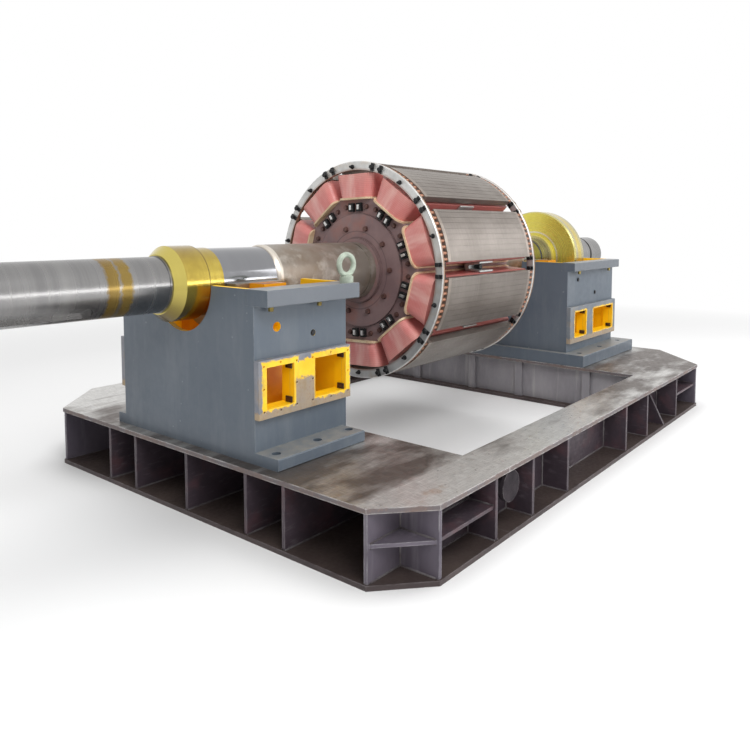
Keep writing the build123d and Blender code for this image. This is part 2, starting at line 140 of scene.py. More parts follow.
def group_called(name, inputs, outputs):
    group = bpy.data.node_groups.new(name, "ShaderNodeTree")
    for label, kind in inputs:
        group.interface.new_socket(label, in_out="INPUT", socket_type=kind)
    for label in outputs:
        group.interface.new_socket(label, in_out="OUTPUT", socket_type="NodeSocketFloat")
    return group, group.nodes.new("NodeGroupInput"), group.nodes.new("NodeGroupOutput")


def use(tree, group, **inputs):
    node = tree.nodes.new("ShaderNodeGroup")
    node.node_tree = group
    feed(tree, node, **inputs)
    return node.outputs


edge_wear, given, result = group_called(
    "Edge wear",
    (("Coordinates", "NodeSocketVector"), ("Reach", "NodeSocketFloat"), ("Scale", "NodeSocketFloat")),
    ("Wear",))
soft_normal = put(edge_wear, "Bevel", {"Radius": given.outputs["Reach"]}, samples=4).outputs[0]
true_normal = put(edge_wear, "NewGeometry").outputs["Normal"]
normals = {0: soft_normal, 1: true_normal}
agreement = put(edge_wear, "VectorMath", normals, operation="DOT_PRODUCT").outputs["Value"]
rubbed = graded(edge_wear, agreement, 0.985, 0.86)
gaps = noise(edge_wear, given.outputs["Coordinates"], given.outputs["Scale"])
broken = graded(edge_wear, gaps, 0.36, 0.6)
edge_wear.links.new(times(edge_wear, rubbed, broken), result.inputs["Wear"])

patches, given, result = group_called(
    "Patches",
    (("Coordinates", "NodeSocketVector"), ("Scale", "NodeSocketFloat"),
     ("Low", "NodeSocketFloat"), ("High", "NodeSocketFloat")),
    ("Broad", "Fine"))
cloud = noise(patches, given.outputs["Coordinates"], given.outputs["Scale"], 5.0, 0.6)
broad = graded(patches, cloud, given.outputs["Low"], given.outputs["High"])
patches.links.new(broad, result.inputs["Broad"])
fine_scale = times(patches, given.outputs["Scale"], 14.0)
patches.links.new(noise(patches, given.outputs["Coordinates"], fine_scale, 3.0), result.inputs["Fine"])


def patchy(tree, place, scale, low, high):
    """The patches group: its Broad output is a mask that rises from low to high, its Fine one a grain."""
    return use(tree, patches, Coordinates=place, Scale=scale, Low=low, High=high)


def rubbed_edges(tree, place, colour, bare, reach, scale, strength):
    """The colour, with the bare one showing through in places along the edges."""
    worn = use(tree, edge_wear, Coordinates=place, Reach=reach, Scale=scale)["Wear"]
    return mixed(tree, times(tree, worn, strength), colour, bare)


def dress(material, *nodes):
    for name in nodes:
        frame["nodes"][name].material_slots[0].material = material


base_half_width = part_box("deck_rails")[1].y
rail_width = 0.283
rail_edge = base_half_width - rail_width
rail_ground_ys = (rail_edge - 0.05, rail_edge + 0.02)
rail_highlight_xs = (0.55, -0.25)
back_ground_ys = (0.75, 1.15)
ground_range = (0.46, 0.68)
deck_finish, tree, skin = new_finish("ground_deck_steel")
place, (x, y, _), facing = surface(tree)
on_rail = graded(tree, size_of(tree, y), *rail_ground_ys)
ground = noise(tree, stretched(tree, place, (1.1, 2.4, 1.0)), 1.5, 5.0, 0.6)
# On the rails, the brighter ground steel towards the near end is a painted highlight.
ground_and_highlight = times(tree, on_rail, graded(tree, x, *rail_highlight_xs, -0.06, 0.24))
ground_and_highlight = plus(tree, ground_and_highlight, graded(tree, y, *back_ground_ys, 0.0, 0.12))
ground = plus(tree, ground, ground_and_highlight)
grain = noise(tree, stretched(tree, place, (5.0, 150.0, 5.0)), 3.0, 3.0)
cross_grain = noise(tree, stretched(tree, place, (120.0, 7.0, 7.0)), 2.0, 3.0)
strokes = most(tree, grain, cross_grain)
bright = mixed(tree, graded(tree, strokes, 0.45, 0.7), chip(176, 174, 171), chip(226, 225, 222))
oil = patchy(tree, place, 1.6, 0.36, 0.64)
dull = mixed(tree, oil["Broad"], chip(120, 113, 108), chip(92, 83, 79))
dull = mixed(tree, graded(tree, strokes, 0.52, 0.75, 0.0, 0.45), dull, chip(160, 155, 150))
top = mixed(tree, graded(tree, ground, *ground_range), dull, bright)
apart = stretched(tree, place, (1, 1, 1), (4.2, 0.6, 0.0))
stain = patchy(tree, apart, 2.6, 0.66, 0.76)
top = mixed(tree, times(tree, stain["Broad"], 0.7), top, chip(160, 112, 66))
rust = patchy(tree, place, 6.0, 0.4, 0.62)
edge = mixed(tree, rust["Broad"], chip(112, 98, 94), chip(104, 99, 102))
edge = mixed(tree, graded(tree, rust["Fine"], 0.58, 0.74, 0.0, 0.7), edge, chip(142, 114, 100))
level = graded(tree, size_of(tree, facing[2]), 0.5, 0.6)
colour = mixed(tree, level, edge, top)
colour = rubbed_edges(tree, place, colour, chip(212, 210, 207), 0.010, 12.0, 0.9)
gloss = spread(tree, oil["Fine"], 0.26, 0.40)
gloss = plus(tree, gloss, graded(tree, ground, *ground_range, 0.10, 0.0))
gloss = plus(tree, gloss, graded(tree, level, 0.0, 1.0, 0.22, 0.0))
metal = graded(tree, ground, *ground_range, 0.88, 0.66)
metal = times(tree, metal, graded(tree, level, 0.0, 1.0, 0.28, 1.0))
feed(tree, skin, Base_Color=colour, Roughness=gloss, Metallic=metal,
     Normal=bumped(tree, strokes, 0.08, 0.001, 0.003))
dress(deck_finish, "end_decks", "deck_rails")

# Webs, ribs, gussets and sole plates: plate of 20 and 25 mm, cut and fillet-welded into an open box frame.
# They carry thin dark red-brown primer over mill scale, rubbed to steel on the outer cut edges and
# dusty brown on the soles.
sole_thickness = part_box("sole_rails")[1].z
mask_edge = 0.001
primer_finish, tree, skin = new_finish("dark_frame_primer")
place, (_, _, z), facing = surface(tree)
scale_marks = patchy(tree, place, 3.0, 0.36, 0.66)
colour = mixed(tree, scale_marks["Broad"], chip(56, 47, 54), chip(74, 63, 71))
apart = stretched(tree, place, (1, 1, 1), (3.1, 1.7, 0.4))
red = patchy(tree, apart, 5.0, 0.50, 0.68)
colour = mixed(tree, times(tree, red["Broad"], 0.55), colour, chip(100, 68, 72))
rubbed_bare = noise(tree, stretched(tree, place, (2.0, 2.0, 9.0)), 5.0, 5.0, 0.7)
colour = mixed(tree, graded(tree, rubbed_bare, 0.56, 0.72, 0.0, 0.55), colour, chip(108, 102, 106))
on_sole = graded(tree, z, sole_thickness + mask_edge, sole_thickness)
dusty = times(tree, on_sole, graded(tree, size_of(tree, facing[2]), 0.0, 0.9, 0.7, 1.0))
dust_tone = mixed(tree, scale_marks["Broad"], chip(58, 48, 46), chip(78, 67, 63))
colour = mixed(tree, dusty, colour, dust_tone)
colour = rubbed_edges(tree, place, colour, chip(138, 132, 135), 0.009, 14.0, 0.55)
feed(tree, skin, Base_Color=colour, Metallic=0.15,
     Roughness=spread(tree, scale_marks["Fine"], 0.40, 0.60),
     Normal=bumped(tree, scale_marks["Fine"], 0.18, 0.002, 0.003))
dress(primer_finish, "end_soles", "sole_rails", "side_webs", "end_ribs", "side_ribs", "bay_gussets")

# Cross webs and stiffeners of the pit, and the corner cells with their shelves: the same plate, welded in
# last. They were left in grey mill scale with chalky streaks, and their edges are rubbed pale. The pit webs
# take a pale copy of the scale and the corner cells a darker one: painted light, set for the light each gets.


def mill_scale(name, dark, pale, chalk):
    """Plate as it comes from the mill, dark or pale, with upright chalky streaks and rubbed edges."""
    material, tree, skin = new_finish(name)
    place = surface(tree)[0]
    tall = stretched(tree, place, (1.0, 1.0, 0.4))
    marks = patchy(tree, tall, 3.4, 0.36, 0.66)
    colour = mixed(tree, marks["Broad"], dark, pale)
    streaks = noise(tree, stretched(tree, place, (14.0, 14.0, 1.2)), 1.0, 4.0)
    colour = mixed(tree, graded(tree, streaks, 0.56, 0.7, 0.0, 0.5), colour, chalk)
    colour = rubbed_edges(tree, place, colour, chip(172, 170, 172), 0.009, 14.0, 0.8)
    feed(tree, skin, Base_Color=colour, Metallic=0.2,
         Roughness=spread(tree, marks["Fine"], 0.42, 0.6),
         Normal=bumped(tree, marks["Fine"], 0.15, 0.002, 0.003))
    return material


# Two tones of the same scale: painted light, paler for the pit webs and darker for the corner cells.
web_scale_painted_light = mill_scale("pit_web_scale", chip(130, 127, 132), chip(158, 155, 159), chip(186, 183, 182))
cell_scale_painted_light = mill_scale("corner_cell_scale", chip(88, 82, 93), chip(110, 102, 112), chip(138, 133, 140))
dress(web_scale_painted_light, "cross_webs", "pit_stiffeners")
dress(cell_scale_painted_light, "corner_cells")

# Trunnions: short round bars welded through the side webs, on which the frame is lifted.
# Their dark tone is painted shade, and the pale rim round each is a painted highlight.
trunnion_painted_shade, tree, skin = new_finish("scraped_trunnion_steel")
place = surface(tree)[0]
scale_marks = patchy(tree, place, 12.0, 0.36, 0.66)
# The dark tones are painted shade; the pale rim from the worn-edge mask is a painted highlight.
colour = mixed(tree, scale_marks["Broad"], chip(40, 36, 40), chip(56, 50, 54))
colour = rubbed_edges(tree, place, colour, chip(150, 145, 146), 0.007, 20.0, 0.8)
feed(tree, skin, Base_Color=colour, Specular_IOR_Level=0.12,
     Roughness=spread(tree, scale_marks["Fine"], 0.65, 0.85),
     Normal=bumped(tree, scale_marks["Fine"], 0.15, 0.002, 0.006))
dress(trunnion_painted_shade, "trunnions")

# Fillet welds of the frame: one bead along each side of a rib's foot and head, along the side webs and round
# the corner cells and their shelves. They are left as welded, rippled and pale, and unpainted.


def join_in(mesh, piece):
    """Adds a finished piece to the mesh and frees it."""
    data = bpy.data.meshes.new("loose")
    piece.to_mesh(data)
    piece.free()
    mesh.from_mesh(data)
    bpy.data.meshes.remove(data)


def add_rod(mesh, segments, radius, length, matrix):
    bmesh.ops.create_cone(mesh, cap_ends=True, segments=segments, radius1=radius, radius2=radius,
                          depth=length, matrix=matrix)


def lay_bead(mesh, start, end, size):
    """A rippled round bead along a seam, half sunk in the plates that it joins."""
    run = Vector(end) - Vector(start)
    ripple_pitch = 0.022
    ripple_share = 0.14
    ripple_start = run.length * 40.0
    piece = bmesh.new()
    add_rod(piece, 6, size, run.length, Matrix.Identity(4))
    long_edges = [edge for edge in piece.edges if edge.calc_length() > run.length * 0.9]
    bmesh.ops.subdivide_edges(piece, edges=long_edges, cuts=max(3, int(run.length / ripple_pitch)))
    for vert in piece.verts:
        swell = 1.0 + ripple_share * math.sin(vert.co.z * math.pi / ripple_pitch + ripple_start)
        vert.co.x *= swell
        vert.co.y *= swell
    turn = run.to_track_quat("Z", "Y").to_matrix().to_4x4()
    middle = Matrix.Translation((Vector(start) + Vector(end)) / 2)
    bmesh.ops.transform(piece, matrix=middle @ turn, verts=piece.verts)
    join_in(mesh, piece)


def set_down(name, mesh, body, slot, *materials, soft=0.0):
    """A finished piece: its mesh becomes an object that rides on a body and takes a finish."""
    crease_angle = math.radians(35)
    rounded_angle = math.radians(40)
    bmesh.ops.recalc_face_normals(mesh, faces=mesh.faces)
    data = bpy.data.meshes.new(name)
    mesh.to_mesh(data)
    mesh.free()
    for material in materials:
        data.materials.append(material)
    data.polygons.foreach_set("use_smooth", [True] * len(data.polygons))
    data.set_sharp_from_angle(angle=crease_angle)
    piece = bpy.data.objects.new(name, data)
    bpy.context.collection.objects.link(piece)
    if soft:
        rounding = piece.modifiers.new("Rounded edges", "BEVEL")
        rounding.width = soft
        rounding.segments = 2
        rounding.limit_method = "ANGLE"
        rounding.angle_limit = rounded_angle
    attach(piece, body)
    return piece


def two_toned(name, patch, first, second, metallic, gloss, bump=None):
    """A finish of two tones in patches; patch is their scale and range, gloss the range of the roughness."""
    material, tree, skin = new_finish(name)
    tone = patchy(tree, surface(tree)[0], *patch)
    feed(tree, skin, Base_Color=mixed(tree, tone["Broad"], first, second), Metallic=metallic,
         Roughness=spread(tree, tone["Fine"], *gloss))
    if bump:
        feed(tree, skin, Normal=bumped(tree, tone["Fine"], *bump))
    return material


weld_finish = two_toned("raw_weld_metal", (9.0, 0.35, 0.65), chip(132, 128, 129), chip(88, 80, 83), 0.5,
                        (0.36, 0.6), (0.3, 0.002))
bead = 0.0065
deck_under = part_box("deck_rails")[0].z
rib_half = 0.010
rib_low, rib_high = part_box("end_ribs")
pit_low, pit_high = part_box("cross_webs")
end_rib_middle = -0.090
end_rib_steps = (-0.768, -0.492, 0.0, 0.492, 0.768)
mesh = bmesh.new()
for start_x, end_x in ((rib_low.x, pit_low.x), (pit_high.x, rib_high.x)):
    for step in end_rib_steps:
        for side_y in (end_rib_middle + step - rib_half, end_rib_middle + step + rib_half):
            lay_bead(mesh, (start_x, side_y, sole_thickness), (end_x, side_y, sole_thickness), bead)
            lay_bead(mesh, (start_x, side_y, deck_under), (end_x, side_y, deck_under), bead)
set_down("end_rib_welds", mesh, "stand", "frame_primer", weld_finish)
side_rib_x = (-1.437, -1.070, -0.659, 0.233, 0.640, 1.299)
rib_outer_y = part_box("side_ribs")[1].y
web_low, web_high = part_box("side_webs")
web_y = web_high.y
mesh = bmesh.new()
for rib_x in side_rib_x:
    for side in (-1, 1):
        for side_x in (rib_x - rib_half, rib_x + rib_half):
            for height in (sole_thickness, deck_under):
                lay_bead(mesh, (side_x, side * rib_outer_y, height), (side_x, side * web_y, height), bead)
            lay_bead(mesh, (side_x, side * web_y, sole_thickness), (side_x, side * web_y, deck_under), bead)
set_down("side_rib_welds", mesh, "stand", "frame_primer", weld_finish)
base_low, base_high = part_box("end_decks")
cell_inset = 0.024
shelf_low = 0.180
shelf_high = 0.198
mesh = bmesh.new()
for side in (-1, 1):
    for height in (sole_thickness, deck_under):
        lay_bead(mesh, (web_low.x, side * web_y, height), (web_high.x, side * web_y, height), bead)
corner_cuts = ((0.225, base_low.x, 1, -1), (0.375, base_low.x, 1, 1),
               (0.500, base_high.x, -1, -1), (0.500, base_high.x, -1, 1))
for corner, end_x, inward, side in corner_cuts:
    inner_x = end_x + inward * corner
    inner_y = side * (base_half_width - corner)
    outer_x = end_x + inward * cell_inset
    outer_y = side * (base_half_width - cell_inset)
    for height in (sole_thickness, shelf_low, shelf_high, deck_under):
        lay_bead(mesh, (outer_x, inner_y, height), (inner_x, inner_y, height), bead)
        lay_bead(mesh, (inner_x, inner_y, height), (inner_x, outer_y, height), bead)
    lay_bead(mesh, (inner_x, inner_y, sole_thickness), (inner_x, inner_y, deck_under), bead)
set_down("corner_and_web_welds", mesh, "stand", "frame_primer", weld_finish)

# Bay shelves: half-height plates in the side bays beside the cut corners, level with the shelves of the
# corner cells. They are 18 mm plate with the frame's primer, welded to the web, the rib and the corner's
# upright.


def add_box(mesh, low, high):
    size = Vector(high) - Vector(low)
    middle = (Vector(high) + Vector(low)) / 2
    matrix = Matrix.Translation(middle) @ Matrix.Diagonal((*size, 1.0))
    return bmesh.ops.create_cube(mesh, size=1.0, matrix=matrix)["verts"]


shelf_inset = 0.020
plate_rounding = 0.002
shelves = bmesh.new()
shelf_welds = bmesh.new()
for corner, end_x, inward, side in corner_cuts:
    upright_x = end_x + inward * (corner + 2 * rib_half)
    rib_x = side_rib_x[0] - rib_half if inward > 0 else side_rib_x[-1] + rib_half
    ys = sorted((side * web_y, side * (base_half_width - shelf_inset)))
    xs = sorted((upright_x, rib_x))
    add_box(shelves, (xs[0], ys[0], shelf_low), (xs[1], ys[1], shelf_high))
    for end in xs:
        lay_bead(shelf_welds, (end, ys[0], shelf_high), (end, ys[1], shelf_high), bead)
    lay_bead(shelf_welds, (xs[0], side * web_y, shelf_high), (xs[1], side * web_y, shelf_high), bead)
set_down("bay_shelves", shelves, "stand", "frame_primer", primer_finish, soft=plate_rounding)
set_down("bay_shelf_welds", shelf_welds, "stand", "frame_primer", weld_finish)

# Bearing pedestals: welded and machined plate housings with wide feet, split at the shaft's centre line.
# Outside they have blue-grey machine enamel, scuffed and dusty on the feet; the oil space inside and the
# edges of the openings are orange-yellow oil-proof enamel.


def grey_enamel(tree, place):
    """The blue-grey of the enamel, brushed on upright, and the patches that it varies by."""
    tone = patchy(tree, place, 1.6, 0.30, 0.72)
    grey = mixed(tree, tone["Broad"], chip(80, 91, 103), chip(94, 103, 113))
    brushed = noise(tree, stretched(tree, place, (9.0, 9.0, 1.6)), 1.0, 5.0, 0.65)
    return mixed(tree, graded(tree, brushed, 0.5, 0.72, 0.0, 0.5), grey, chip(108, 115, 122)), tone


def dusted(tree, facing, tone, grey, dust_tone):
    """The colour, with dust on the faces that look up."""
    level = graded(tree, facing[2], 0.7, 0.95)
    dust = times(tree, level, graded(tree, tone["Fine"], 0.35, 0.7, 0.35, 0.85))
    return mixed(tree, dust, grey, dust_tone)


def pedestal_finish(name, walls, wall_thickness, foot_top):
    """Grey enamel outside, and yellow on what lies inside the walls and over the foot."""
    (start_x, _, _), (end_x, half_width, _) = walls
    paint_depth = 0.0006
    worn_depths = (0.012, 0.004)
    material, tree, skin = new_finish(name)
    place, (x, y, z), facing = surface(tree)
    off_y = size_of(tree, y)
    grey, tone = grey_enamel(tree, place)
    grey = dusted(tree, facing, tone, grey, chip(140, 137, 130))
    specks = graded(tree, noise(tree, place, 34.0, 1.0), 0.775, 0.79)
    grey = mixed(tree, times(tree, specks, 0.4), grey, chip(150, 154, 156))
    worn = use(tree, edge_wear, Coordinates=place, Reach=0.008, Scale=16.0)["Wear"]
    outer = graded(tree, off_y, half_width - worn_depths[0], half_width - worn_depths[1])
    worn = times(tree, worn, times(tree, outer, 0.5))
    grey = mixed(tree, worn, grey, chip(146, 149, 150))
    yellow = mixed(tree, tone["Broad"], chip(252, 196, 10), chip(255, 208, 22))
    inside = graded(tree, off_y, half_width - paint_depth, half_width - 2 * paint_depth)
    for end, inward in ((start_x, mask_edge), (end_x, -mask_edge)):
        inside = times(tree, inside, graded(tree, x, end + inward, end + 2 * inward))
    inside = times(tree, inside, graded(tree, z, foot_top - 2 * mask_edge, foot_top - mask_edge))
    inner_half = half_width - wall_thickness
    floor = graded(tree, off_y, inner_half + mask_edge, inner_half)
    above_foot = graded(tree, z, foot_top + mask_edge, foot_top + 2 * mask_edge)
    inside = times(tree, inside, most(tree, floor, above_foot))
    feed(tree, skin, Base_Color=mixed(tree, inside, grey, yellow),
         Roughness=spread(tree, tone["Fine"], 0.32, 0.48),
         Normal=bumped(tree, noise(tree, place, 70.0, 2.0), 0.05, 0.002))
    return material


side_wall = 0.060
near_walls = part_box("near_side_walls")
far_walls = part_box("far_side_walls")
near_finish = pedestal_finish("near_pedestal_enamel", near_walls, side_wall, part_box("near_foot")[1].z)
far_finish = pedestal_finish("far_pedestal_enamel", far_walls, side_wall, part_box("far_foot")[1].z)
dress(near_finish, "near_foot", "near_end_walls", "near_side_walls")
dress(far_finish, "far_foot", "far_end_walls", "far_side_walls")
lip_finish, tree, skin = new_finish("pedestal_lip_enamel")
place, _, facing = surface(tree)
grey, tone = grey_enamel(tree, place)
# Faces that look to the front and back are mixed toward a lighter grey: painted light.
front_painted_light = graded(tree, size_of(tree, facing[1]), 0.6, 0.9, 0.0, 0.7)
grey = mixed(tree, front_painted_light, grey, chip(106, 110, 116))
grey = dusted(tree, facing, tone, grey, chip(146, 144, 138))
grey = rubbed_edges(tree, place, grey, chip(160, 161, 160), 0.006, 18.0, 0.45)
feed(tree, skin, Base_Color=grey, Roughness=spread(tree, tone["Fine"], 0.32, 0.48),
     Normal=bumped(tree, noise(tree, place, 70.0, 2.0), 0.05, 0.002, 0.005))
dress(lip_finish, "near_lips", "far_lips")

# Saddles and bearing shells: the saddle stands in the oil space under the shaft and holds the half shell,
# a steel back lined with white metal that is scraped to the journal.
sump_finish, tree, skin = new_finish("oil_space_enamel")
place, _, facing = surface(tree)
tone = patchy(tree, place, 4.0, 0.35, 0.65)
colour = mixed(tree, tone["Broad"], chip(240, 168, 10), chip(214, 132, 12))
level = graded(tree, facing[2], 0.7, 0.95)
oily = times(tree, level, graded(tree, noise(tree, place, 5.0), 0.35, 0.65, 0.45, 0.95))
feed(tree, skin, Base_Color=mixed(tree, oily, colour, chip(120, 62, 34)),
     Roughness=spread(tree, tone["Fine"], 0.3, 0.46))
dress(sump_finish, "near_saddle", "far_saddle")
shell_finish, tree, skin = new_finish("scraped_white_metal")
scraped = noise(tree, surface(tree)[0], 90.0, 2.0)
feed(tree, skin, Base_Color=mixed(tree, scraped, chip(166, 162, 153), chip(144, 140, 132)), Metallic=0.85,
     Roughness=spread(tree, scraped, 0.30, 0.42))
dress(shell_finish, "near_bush", "far_bush")

# Window frames: flat machined facings round the inspection windows, with rows of tapped holes for covers.
# The near ones are half stripped: yellow round the openings, bare beige filler on the post and bottom rail,
# grey enamel on the rim. The far ones are grey with yellow edges.

minus = maths("SUBTRACT")
least = maths("MINIMUM")


def along(tree, position, low, high, soft=0.004):
    """A mask of the stretch from low to high, with soft ends."""
    rise = graded(tree, position, low - soft, low + soft)
    return times(tree, rise, graded(tree, position, high + soft, high - soft))


def cut_away(name, body_mesh, tool_mesh):
    """The body less the tool, as a bmesh."""
    solids = []
    for label, source in ((name, body_mesh), (name + "_tool", tool_mesh)):
        data = bpy.data.meshes.new(label)
        source.to_mesh(data)
        source.free()
        solids.append(bpy.data.objects.new(label, data))
        bpy.context.collection.objects.link(solids[-1])
    cut = solids[0].modifiers.new("Cut", "BOOLEAN")
    cut.operation = "DIFFERENCE"
    cut.solver = "EXACT"
    cut.object = solids[1]
    bpy.context.view_layer.update()
    evaluated = solids[0].evaluated_get(bpy.context.evaluated_depsgraph_get())
    done = bpy.data.meshes.new_from_object(evaluated)
    result = bmesh.new()
    result.from_mesh(done)
    for solid in solids:
        bpy.data.objects.remove(solid)
    bpy.data.meshes.remove(done)
    return result


def tapped_row(window, low, high, gap):
    """The places of the tapped holes round one window."""
    left, right = window
    middle_x = (left + right) / 2
    middle_z = (low + high) / 2
    spots = [(x, z) for x in (left - gap, right + gap) for z in (low - gap / 2, middle_z, high + gap / 2)]
    return spots + [(middle_x, low - gap), (middle_x, high + gap)]


def window_facing(name, outline, half_width, windows, window_z, material):
    """The facings on the front and the back of a pedestal, let in to its walls."""
    (start_x, _, low_z), (end_x, outer_y, high_z) = outline
    hole_gap = 0.017
    hole_radius = 0.0055
    hole_depth = 0.022
    cut_past = 0.010
    let_in = 0.003
    facings = []
    for side, word in ((-1, "front"), (1, "back")):
        body = bmesh.new()
        tool = bmesh.new()
        ys = sorted((side * (half_width - let_in), side * outer_y))
        add_box(body, (start_x, ys[0], low_z), (end_x, ys[1], high_z))
        for window in windows:
            add_box(tool, (window[0], ys[0] - cut_past, window_z[0]),
                    (window[1], ys[1] + cut_past, window_z[1]))
            for x, z in tapped_row(window, *window_z, hole_gap):
                spot = Matrix.Translation((x, side * outer_y, z)) @ Matrix.Rotation(math.pi / 2, 4, "X")
                add_rod(tool, 12, hole_radius, 2 * hole_depth, spot)
        cut = cut_away(f"{name}_{word}", body, tool)
        facing = set_down(f"{name}_{word}", cut, "stand", "pedestal_paint", material, soft=plate_rounding)
        facings.append(facing)
    return facings


def facing_finish(name, windows, window_z, ring_width, post_enamel, bare_below, rim_tones):
    """Yellow enamel in a ring round each opening, filler laid bare on the post and the bottom rail."""
    post_margins = (0.010, 0.006)
    post_top = (0.010, 0.002)
    rail_top = 0.004
    ring_edge = 0.008
    edge_reach = (0.001, 0.003)
    torn = 0.012
    ragged_by = 0.007
    material, tree, skin = new_finish(name)
    place, (x, _, z), _ = surface(tree)
    low, high = window_z
    reach = None
    for left, right in windows:
        past_x = size_of(tree, minus(tree, x, (left + right) / 2))
        past_z = size_of(tree, minus(tree, z, (low + high) / 2))
        past_x = minus(tree, past_x, (right - left) / 2)
        past_z = minus(tree, past_z, (high - low) / 2)
        past = most(tree, past_x, past_z)
        reach = past if reach is None else least(tree, reach, past)
    ragged = spread(tree, noise(tree, place, 30.0, 6.0, 0.7), -ragged_by, ragged_by)
    ring = plus(tree, reach, ragged)
    ragged_z = plus(tree, z, times(tree, ragged, 2.4))
    tone = patchy(tree, place, 7.0, 0.4, 0.6)
    yellow = mixed(tree, tone["Broad"], chip(250, 196, 16), chip(255, 212, 44))
    filler = mixed(tree, tone["Broad"], chip(166, 146, 118), chip(152, 139, 124))
    filler = mixed(tree, graded(tree, tone["Fine"], 0.55, 0.75, 0.0, 0.7), filler, chip(150, 112, 92))
    rim = mixed(tree, tone["Broad"], *rim_tones)
    on_post = along(tree, x, windows[0][1] + post_margins[0], windows[1][0] - post_margins[1])
    on_post = times(tree, on_post, graded(tree, ragged_z, high + post_top[0], high + post_top[1]))
    bare = times(tree, on_post, graded(tree, ragged_z, bare_below, bare_below - torn))
    bare = most(tree, bare, graded(tree, ragged_z, low - rail_top, low - torn))
    bare = times(tree, bare, graded(tree, reach, *edge_reach))
    enamelled = graded(tree, ring, ring_width, ring_width - ring_edge)
    enamelled = most(tree, enamelled, times(tree, on_post, post_enamel))
    colour = mixed(tree, enamelled, rim, yellow)
    colour = mixed(tree, bare, colour, filler)
    smear = patchy(tree, stretched(tree, place, (2.0, 2.0, 1.0)), 9.0, 0.52, 0.72)
    smear = times(tree, smear["Broad"], graded(tree, reach, *edge_reach, 0.0, 0.55))
    colour = mixed(tree, smear, colour, chip(146, 122, 84))
    colour = rubbed_edges(tree, place, colour, chip(200, 194, 180), 0.005, 26.0, 0.5)
    feed(tree, skin, Base_Color=colour, Roughness=spread(tree, tone["Fine"], 0.34, 0.55),
         Normal=bumped(tree, bare, 0.25, 0.001))
    return material


near_windows = ((-2.017, -1.840), (-1.695, -1.465))
near_window_z = (0.630, 0.840)
near_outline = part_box("near_window_frames")
near_facing = facing_finish("near_facing_enamel", near_windows, near_window_z, ring_width=0.034,
                            post_enamel=1.0, bare_below=0.762,
                            rim_tones=(chip(116, 120, 130), chip(134, 135, 142)))
pieces = window_facing("near_window_facing", near_outline, near_walls[1].y, near_windows, near_window_z,
                       near_facing)
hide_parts("near_window_frames")
far_windows = ((1.232, 1.460), (1.610, 2.045))
far_window_z = (0.585, 0.800)
far_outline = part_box("far_window_frames")
far_facing = facing_finish("far_facing_enamel", far_windows, far_window_z, ring_width=0.016,
                           post_enamel=0.0, bare_below=far_window_z[0],
                           rim_tones=(chip(106, 113, 122), chip(126, 130, 134)))
pieces = window_facing("far_window_facing", far_outline, far_walls[1].y, far_windows, far_window_z,
                       far_facing)
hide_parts("far_window_frames")

# Cover lugs: short steel bars welded in the corners of each window, which the covers hook behind.
# They are bare, dark with heat and old oil.
lug_finish = two_toned("burnt_lug_steel", (26.0, 0.38, 0.66), chip(44, 28, 30), chip(70, 50, 44), 0.3,
                       (0.4, 0.6), (0.2, 0.001))
lug_setback = 0.014
lug_depth = 0.048
lug_height = 0.032
lug_thickness = 0.009
lug_rounding = 0.003
mesh = bmesh.new()
for outline, windows, (low, high) in ((near_outline, near_windows, near_window_z),
                                      (far_outline, far_windows, far_window_z)):
    outer_y = outline[1].y - lug_setback
    for side in (-1, 1):
        ys = sorted((side * outer_y, side * (outer_y - lug_depth)))
        for left, right in windows:
            for bottom in (low, high - lug_height):
                add_box(mesh, (right - lug_thickness, ys[0], bottom), (right, ys[1], bottom + lug_height))
bmesh.ops.bevel(mesh, geom=mesh.edges[:], offset=lug_rounding, offset_type="OFFSET", affect="EDGES",
                segments=2, profile=0.5, material=-1)
set_down("window_lugs", mesh, "stand", "wedge_black", lug_finish)

# Small fittings of the pedestals: jacking studs under the lips, screwed plugs in spare tappings, and the
# forged lifting eyebolt, which has pale grey-green enamel.


def set_bolt(mesh, spot, along_axis, across, height, washer=0.0):
    """A hex head on that spot, with a washer of that radius under it."""
    place = Matrix.Translation(spot) @ Vector(along_axis).to_track_quat("Z", "Y").to_matrix().to_4x4()
    washer_height = 0.004
    if washer:
        add_rod(mesh, 14, washer, washer_height, place @ Matrix.Translation((0, 0, washer_height / 2)))
    add_rod(mesh, 6, across / math.sqrt(3), height, place @ Matrix.Translation((0, 0, height / 2)))


rotor_x, _, axis_z = frame["joints"][0]["pos_m"]
black_finish = two_toned("black_oxide", (30.0, 0.4, 0.7), chip(24, 25, 28), chip(50, 50, 50), 0.4,
                         (0.35, 0.55))
stud_finish = two_toned("yellow_plated_studs", (40.0, 0.4, 0.7), chip(152, 134, 66), chip(96, 86, 56), 0.6,
                        (0.3, 0.5))
jacking_stud = {"across": 0.024, "height": 0.030, "washer": 0.019}
stud_from_wall = 0.032
near_stud_xs = (-1.985, -1.660)
far_stud_xs = (1.300, 1.940)
bolt_rounding = 0.001
mesh = bmesh.new()
for lips, walls, stud_xs in (("near_lips", near_walls, near_stud_xs), ("far_lips", far_walls, far_stud_xs)):
    for side in (-1, 1):
        for stud_x in stud_xs:
            head = (stud_x, side * (walls[1].y + stud_from_wall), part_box(lips)[0].z)
            set_bolt(mesh, head, (0, 0, -1), **jacking_stud)
set_down("jacking_studs", mesh, "stand", "gold_varnish", stud_finish, soft=bolt_rounding)
plug_head = {"across": 0.022, "height": 0.008}
plug_radius = 0.018
plug_clearance = 0.0005
far_plugs = ((1.344, 1.076), (1.704, 0.940))
probe_from_end = 0.390
probe_below_axis = 0.258
probe_depth = 0.005
probe_x = near_walls[0].x + probe_from_end
probe_z = axis_z - probe_below_axis
mesh = bmesh.new()
